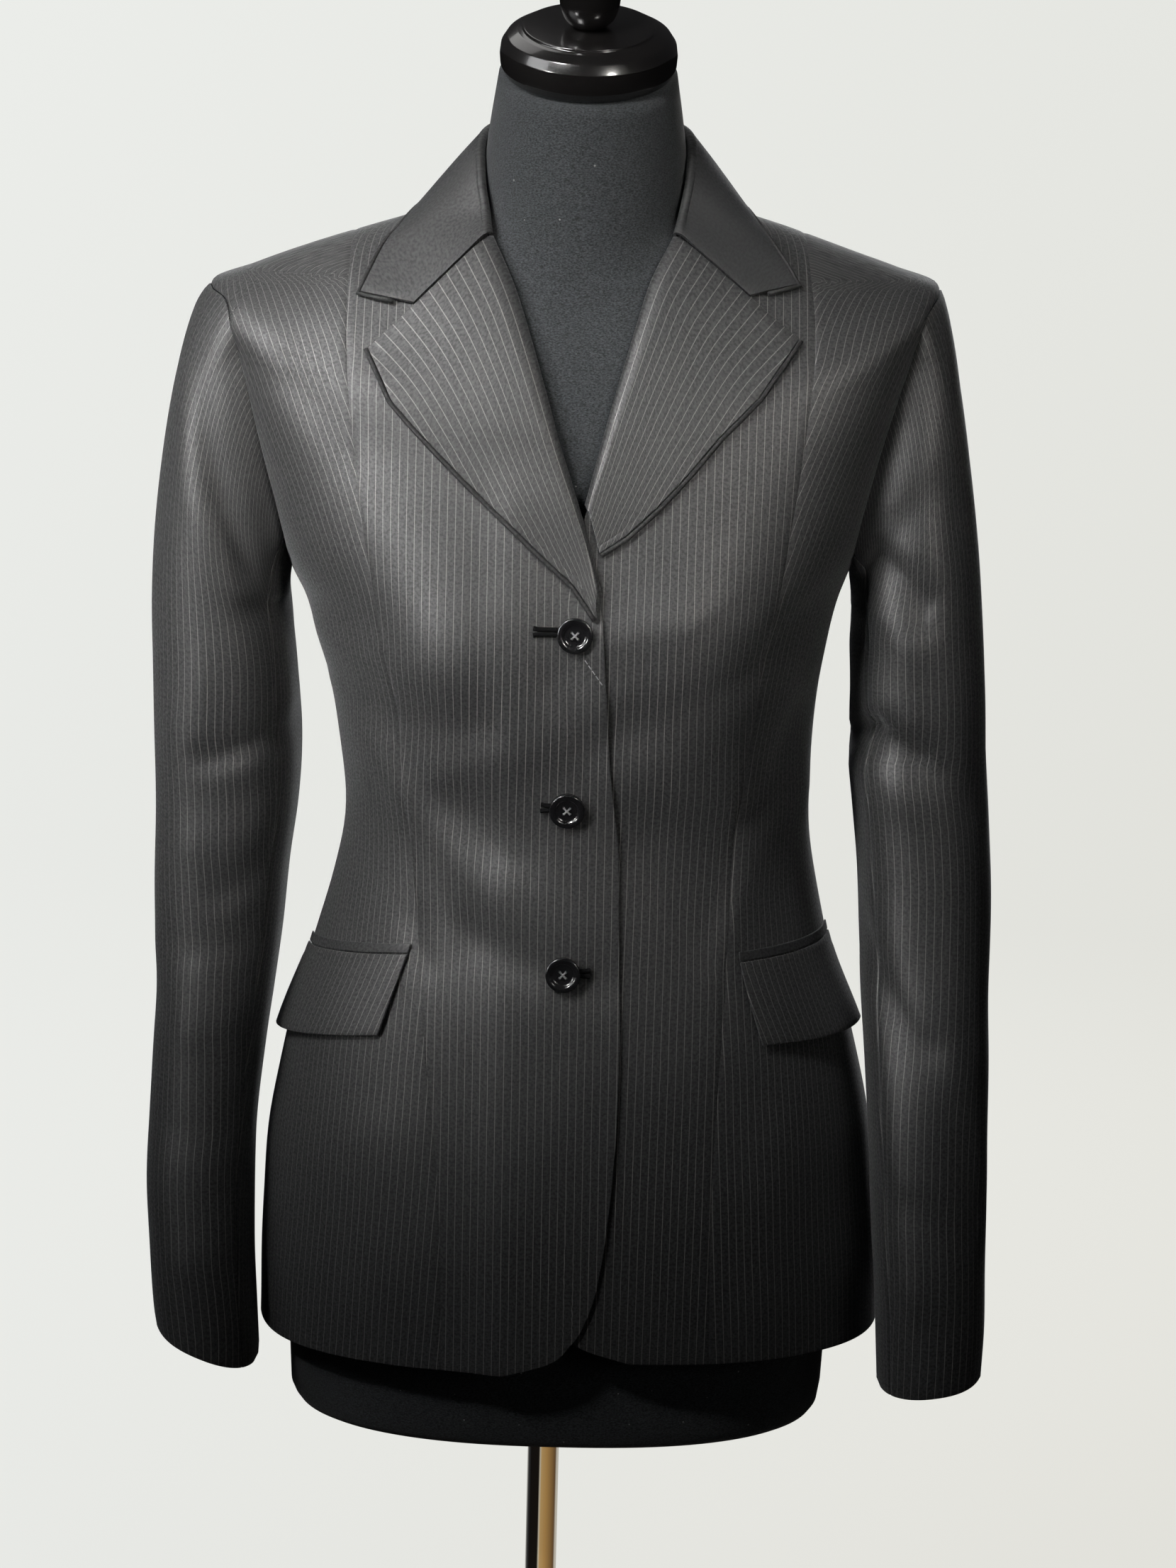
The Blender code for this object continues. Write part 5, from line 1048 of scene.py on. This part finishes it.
def make_jersey():
    """Matt knitted jersey: near black, its rows of loops uneven and fuzzy, with pale specks of lint."""
    material, tree = principled("black jersey", {
        "Roughness": 0.85, "Specular IOR Level": 0.3, "Sheen Weight": 0.10, "Sheen Roughness": 0.6,
    })
    at = tree.nodes.new("ShaderNodeTexCoord").outputs["Object"]
    rows = tree.nodes.new("ShaderNodeVectorMath")
    rows.operation = "MULTIPLY"
    rows.inputs[1].default_value = KNIT_ROWS
    tree.links.new(at, rows.inputs[0])
    fuzz = tree.nodes.new("ShaderNodeMapRange")
    fuzz.inputs["From Min"].default_value, fuzz.inputs["From Max"].default_value = 0.34, 0.70
    tree.links.new(noise(tree, rows.outputs[0], 1.0, 2.0, 0.65), fuzz.inputs[0])
    lint = tree.nodes.new("ShaderNodeTexVoronoi")
    lint.inputs["Scale"].default_value = LINT_SCALE
    tree.links.new(at, lint.inputs["Vector"])
    split = tree.nodes.new("ShaderNodeSeparateColor")
    tree.links.new(lint.outputs["Color"], split.inputs[0])
    speck = calculate(tree, "MULTIPLY", calculate(tree, "LESS_THAN", lint.outputs["Distance"], LINT_RADIUS),
                      calculate(tree, "GREATER_THAN", split.outputs[0], LINT_RARE))
    ground = mixed(tree, fuzz.outputs[0], (0.0018, 0.0022, 0.0028, 1), (0.0330, 0.0375, 0.0415, 1))
    tree.links.new(mixed(tree, speck, ground, (0.13, 0.13, 0.13, 1)),
                   tree.nodes["Principled BSDF"].inputs["Base Color"])
    bumped(tree, fuzz.outputs[0], 0.25, 0.0003)
    return material


levels = np.array(FORM_LEVELS)
levels = np.interp(np.linspace(0, len(levels) - 1, (len(levels) - 1) * 3 + 1), np.arange(len(levels)), levels)
angles = np.arange(FORM_AROUND) * 360 / FORM_AROUND
ridge = np.abs(np.sin(np.radians(angles)))[None, :] ** 16
ridge = ridge * (ramp(levels, 1.066, 1.078) * (1 - ramp(levels, 1.105, 1.120)))[:, None]
ease = ring("ease", levels)[:, None] * (1 - ridge) + 0.0008 * ridge
form_grid = coat(angles[None, :], levels[:, None], -ease, folded=False)
form_grid[..., 0] -= (ring("centre", levels) * (1 - ramp(levels, 0.50, 0.80)))[:, None]
middle = np.array([0.0, 0.003, FORM_BOTTOM])
lower = [(form_grid[0] - middle) * (0.35, 0.35, 0) + middle + (0, 0, FORM_HOLLOW)]
for drawn_x, drawn_y, rise in ((0.955, 0.940, 0.0), (0.975, 0.967, 0.0018), (0.990, 0.986, 0.0052)):
    lower.append((form_grid[0] - middle) * (drawn_x, drawn_y, 0) + middle + (0, 0, rise))
turn = np.radians(angles)
neck = between_rows(np.array(NECK_ROWS), np.linspace(0, 3, 13))
upper = []
for height, radius, y, tilt in neck:
    deep = -np.cos(turn) * radius
    rise = deep * math.tan(math.radians(tilt))
    upper.append(np.stack([np.sin(turn) * radius, y + deep, height + rise], axis=1))
crown = upper[-1] * 0.35 + upper[-1].mean(axis=0) * 0.65
blend = [form_grid[-1] * (1 - t) + upper[0] * t for t in (0.2, 0.4, 0.6, 0.8)]
drawn = np.concatenate([form_grid, blend, upper])
facing = np.clip(np.cos(turn), 0, 1)[None, :, None] ** 0.5
for _ in range(NECK_SOFTENING):
    evened = drawn[1:-1] / 2 + drawn[2:] / 4 + drawn[:-2] / 4
    height = drawn[1:-1, :1, 2]
    near_neck = (ramp(height, 1.085, 1.11) * (1 - ramp(height, 1.20, 1.235)))[..., None]
    drawn[1:-1] += (evened - drawn[1:-1]) * near_neck * facing
rings = np.concatenate([lower, drawn, [crown]])
form = closed_tube("dress_form_jersey", rings, make_jersey())
fixed_to_coat(form, "dress_form")

# The neck cap and its finial: turned wood under glossy black lacquer. The cap is a low drum with rounded
# edges set on the neck, tilted with it; the finial is a ball that narrows to its foot on the cap.
CAP_TILT = math.radians(20)
CAP_PROFILE = (
    (0, 0.0270), (0.0360, 0.0270), (0.0364, 0.0254), (0.0392, 0.0250), (0.0448, 0.0218), (0.0480, 0.0168),
    (0.0487, 0.0112), (0.0483, 0.0058), (0.0465, 0.0018), (0.0442, 0.0), (0, 0),
)
FINIAL_PROFILE = (
    (0, 0.0360), (0.0070, 0.0345), (0.0128, 0.0300), (0.0163, 0.0230), (0.0168, 0.0165),
    (0.0161, 0.0100), (0.0140, 0.0046), (0.0108, 0.0014), (0.0098, 0.0), (0, 0),
)
lacquer = glossy("black lacquer", (0.0060, 0.0055, 0.0054), 0.24, 0.8)


def turned(name, profile, material, round_width):
    """A profile of radius and height turned about Z with its corners rounded."""
    bpy.ops.mesh.primitive_circle_add(vertices=96, radius=0.01)
    piece = bpy.context.active_object
    piece.name = name
    bpy.ops.object.mode_set(mode="EDIT")
    bpy.ops.mesh.select_all(action="SELECT")
    radius = profile[1][0]
    bpy.ops.transform.resize(value=(radius / 0.01, radius / 0.01, 1))
    bpy.ops.transform.translate(value=(0, 0, profile[1][1]))
    bpy.ops.mesh.edge_face_add()
    bpy.ops.mesh.select_all(action="SELECT")
    height = profile[1][1]
    for wide, low in profile[2:-1]:
        bpy.ops.mesh.extrude_region_move()
        bpy.ops.transform.resize(value=(wide / radius, wide / radius, 1))
        bpy.ops.transform.translate(value=(0, 0, low - height))
        radius, height = wide, low
    bpy.ops.mesh.select_all(action="SELECT")
    bpy.ops.mesh.normals_make_consistent(inside=False)
    bpy.ops.object.mode_set(mode="OBJECT")
    if round_width:
        rim = piece.modifiers.new("Rounded", "BEVEL")
        rim.width, rim.segments, rim.limit_method, rim.angle_limit = round_width, 3, "ANGLE", math.radians(12)
        bpy.ops.object.modifier_apply(modifier=rim.name)
    piece.data.materials.append(material)
    bpy.ops.object.shade_smooth_by_angle(angle=math.radians(40))
    piece.select_set(False)
    return piece


neck_top = Vector((POLE_ASIDE, NECK_ROWS[-1][2], NECK_ROWS[-1][0] + 0.0003))
tilt = Matrix.Rotation(CAP_TILT, 4, "X")
cap = turned("neck_cap_lacquer", CAP_PROFILE, lacquer, 0.0005)
set_in_place(cap, Matrix.Translation(neck_top) @ tilt)
fixed_to_coat(cap, "neck_cap")
ball = turned("finial_lacquer", FINIAL_PROFILE, lacquer, 0.0016)
set_in_place(ball, Matrix.Translation(neck_top + tilt @ Vector((0, 0, 0.0273))) @ tilt)
fixed_to_coat(ball, "finial")

# The stand: a chromed steel tube from the underside of the form down to the boss of a round chromed foot
# on the floor. On the tube a painted reflection of the dark side and the warm wall of the room shows as two
# upright bands of colour, which also glow a little as painted light.
POLE_RADIUS, BOSS_HEIGHT = 0.0093, 0.045
POLE_TOP = FORM_BOTTOM + FORM_HOLLOW - 0.0003
FOOT_PROFILE = (
    (0, BOSS_HEIGHT), (0.0190, BOSS_HEIGHT), (0.0215, 0.0420), (0.0225, 0.0240), (0.0300, 0.0180),
    (0.0990, 0.0140), (0.1535, 0.0100), (0.1635, 0.0060), (0.1650, 0.0030), (0.1640, 0), (0, 0),
)
chrome = glossy("chrome", (0.62, 0.60, 0.56), 0.20, 0.0, 0.55)


# The painted reflection across the pole: share of its width from the left, then the colour painted there
POLE_PAINTED_REFLECTION = (
    (0.00, (0.65, 0.63, 0.58)), (0.05, (0.05, 0.05, 0.05)), (0.12, (0.010, 0.008, 0.007)),
    (0.38, (0.012, 0.009, 0.007)), (0.42, (0.75, 0.66, 0.50)), (0.46, (0.62, 0.40, 0.16)),
    (0.62, (0.52, 0.30, 0.10)), (0.80, (0.30, 0.17, 0.06)), (0.90, (0.16, 0.09, 0.04)),
    (0.95, (0.80, 0.74, 0.62)), (1.00, (0.70, 0.66, 0.58)),
)


def make_pole_painted_reflection():
    """Chrome with a painted reflection, the dark room at the left and the warm wall at the right, which also
    glows as painted light.
    """
    material = glossy("pole with painted reflection", (0.5, 0.45, 0.4), 0.16, 0.0, 0.35)
    tree = material.node_tree
    shader = tree.nodes["Principled BSDF"]
    split = tree.nodes.new("ShaderNodeSeparateXYZ")
    tree.links.new(tree.nodes.new("ShaderNodeTexCoord").outputs["Object"], split.inputs[0])
    across = calculate(tree, "ADD", calculate(tree, "DIVIDE", split.outputs[0], POLE_RADIUS * 2), 0.5)
    painted_reflection = tree.nodes.new("ShaderNodeValToRGB")
    for position, _ in POLE_PAINTED_REFLECTION[1:-1]:
        painted_reflection.color_ramp.elements.new(position)
    for element, (position, colour) in zip(painted_reflection.color_ramp.elements, POLE_PAINTED_REFLECTION):
        element.position, element.color = position, (*colour, 1)
    tree.links.new(across, painted_reflection.inputs[0])
    tree.links.new(painted_reflection.outputs[0], shader.inputs["Base Color"])
    # the painted reflection also glows, as painted light, so that it shows under the dim lighting
    painted_glow = mixed(tree, 1.0, painted_reflection.outputs[0], (0.55, 0.55, 0.55, 1), "MULTIPLY")
    tree.links.new(painted_glow, shader.inputs["Emission Color"])
    shader.inputs["Emission Strength"].default_value = 1.0
    return material


pole_profile = ((0, POLE_TOP), (POLE_RADIUS, POLE_TOP), (POLE_RADIUS, BOSS_HEIGHT + 0.0003), (0, BOSS_HEIGHT))
pole = turned("pole_chrome", pole_profile, make_pole_painted_reflection(), 0.0)
fixed_to_coat(pole, "pole")
foot = turned("foot_chrome", FOOT_PROFILE, chrome, 0.0012)
fixed_to_coat(foot, "foot")

# The studio: a wide pale floor, soft key lights high at the left that fall mostly on the chest and the
# shoulder, weaker ones all round, and the camera of the photo, which looks slightly down from the front.
bpy.ops.mesh.primitive_circle_add(vertices=96, radius=600, fill_type="NGON", location=(0, 0, 0))
floor = bpy.context.active_object
floor.name = "studio_floor"
paper = glossy("pale floor", (0.02, 0.02, 0.02), 0.9)
paper.node_tree.nodes["Principled BSDF"].inputs["Specular IOR Level"].default_value = 0.0


def seen_or_lit(tree, seen, lit):
    """One colour for what the camera sees and another for the light that it gives off."""
    ray = tree.nodes.new("ShaderNodeLightPath")
    return mixed(tree, ray.outputs["Is Camera Ray"], lit, seen)


# The seen background carries painted shade: lighter and cooler at the left, darker and warmer at the right,
# and darker again on the near floor, with the coat's painted shadow warm at the lower right.
SIDE_CHANGE = 1.8       # how fast the background turns from cool at the left to warm at the right
FAR_WALL_LIT_AND_SHADED = ((0.850, 0.865, 0.840, 1), (0.770, 0.775, 0.735, 1))
NEAR_FLOOR_PAINTED_SHADE = ((0.700, 0.715, 0.700, 1), (0.610, 0.570, 0.490, 1))
PHOTOGRAPHER = 2.1      # how far in front of the form the nearest, darkest floor is

paper_tree = paper.node_tree
paper_shader = paper_tree.nodes["Principled BSDF"]
split = paper_tree.nodes.new("ShaderNodeSeparateXYZ")
paper_tree.links.new(paper_tree.nodes.new("ShaderNodeTexCoord").outputs["Object"], split.inputs[0])
ahead = calculate(paper_tree, "ADD", split.outputs[1], PHOTOGRAPHER)
squares = [calculate(paper_tree, "MULTIPLY", value, value) for value in (split.outputs[0], ahead)]
away = calculate(paper_tree, "SQRT", calculate(paper_tree, "ADD", *squares))
bearing = calculate(paper_tree, "DIVIDE", split.outputs[0], calculate(paper_tree, "ADD", away, 0.01))
near = calculate(paper_tree, "DIVIDE", 1.0, calculate(paper_tree, "ADD", away, 0.1), clamp=True)
turned_to = calculate(paper_tree, "MULTIPLY", bearing, SIDE_CHANGE)
side_share = calculate(paper_tree, "ADD", turned_to, 0.5, clamp=True)
tints = [mixed(paper_tree, side_share, cool, warm) for cool, warm in (FAR_WALL_LIT_AND_SHADED, NEAR_FLOOR_PAINTED_SHADE)]
# the floor's seen colour, with its painted shade and painted shadow
paper_tree.links.new(seen_or_lit(paper_tree, mixed(paper_tree, near, *tints), (0, 0, 0, 1)),
                     paper_shader.inputs["Emission Color"])
paper_shader.inputs["Emission Strength"].default_value = 1.0
floor.data.materials.append(paper)
floor.select_set(False)


def soft_light(name, place_at, aim, size, power, colour, spread=180, glossy_too=True):
    """A round light; with glossy_too off it isn't mirrored in the cloth and the buttons."""
    data = bpy.data.lights.new(name, "AREA")
    data.shape, data.size, data.energy, data.color = "DISK", size, power, colour
    data.spread = math.radians(spread)
    lamp = in_scene(name, data)
    lamp.location = place_at
    lamp.rotation_euler = (Vector(aim) - Vector(place_at)).to_track_quat("-Z", "Y").to_euler()
    lamp.visible_glossy = glossy_too


soft_light("key", (-0.9, -1.1, 2.2), (-0.15, -0.08, 1.09), 0.6, 1.25, (1.0, 0.99, 0.98), 20)
soft_light("low key", (-1.5, -1.3, 1.45), (-0.12, -0.08, 1.03), 0.5, 0.64, (1.0, 0.99, 0.98), 16)
soft_light("side", (-1.3, -0.6, 1.9), (0, 0, 1.0), 0.8, 7.2, (0.98, 0.99, 1.0))
soft_light("fill", (0.9, -1.7, 1.7), (0.03, -0.1, 1.09), 0.5, 0.36, (1.0, 0.97, 0.92), 14)
soft_light("low fill", (1.4, -1.5, 1.3), (0, 0, 0.8), 0.8, 2.2, (1.0, 0.96, 0.90), glossy_too=False)
soft_light("top", (-0.5, 0.5, 2.2), (0, 0, 1.1), 0.8, 2.0, (1.0, 0.99, 0.97))
soft_light("back", (0.5, 2.3, 1.7), (0, 0, 0.9), 1.2, 110.0, (1.0, 0.99, 0.97), glossy_too=False)

world = bpy.data.worlds.new("pale room")
bpy.context.scene.world = world
world.use_nodes = True
world_tree = world.node_tree
parts_of = world_tree.nodes.new("ShaderNodeSeparateXYZ")
world_tree.links.new(world_tree.nodes.new("ShaderNodeTexCoord").outputs["Generated"], parts_of.inputs[0])
turned_to = calculate(world_tree, "MULTIPLY", parts_of.outputs[0], SIDE_CHANGE)
# the world seen behind: the wall, with its painted shade towards the right
wall = mixed(world_tree, calculate(world_tree, "ADD", turned_to, 0.5, clamp=True), *FAR_WALL_LIT_AND_SHADED)
room = seen_or_lit(world_tree, wall, (0.022, 0.022, 0.023, 1))
world_tree.links.new(room, world_tree.nodes["Background"].inputs[0])

PITCH, ROLL, AIM, DISTANCE = math.radians(12.8), math.radians(1.5), Vector((0.0164, -0.11, 0.868)), 1.938
forward = Vector((0, math.cos(PITCH), -math.sin(PITCH)))
sideways = math.cos(ROLL) * Vector((1, 0, 0)) + math.sin(ROLL) * Vector((0, math.sin(PITCH), math.cos(PITCH)))
upward = sideways.cross(forward)
at = AIM - forward * DISTANCE
camera_data = bpy.data.cameras.new("camera")
camera_data.lens, camera_data.sensor_width = 81.92, 36
camera = in_scene("camera", camera_data)
camera.matrix_world = Matrix((
    (sideways.x, upward.x, -forward.x, at.x), (sideways.y, upward.y, -forward.y, at.y),
    (sideways.z, upward.z, -forward.z, at.z), (0, 0, 0, 1),
))
bpy.context.scene.camera = camera
bpy.context.scene.view_settings.view_transform = "Standard"
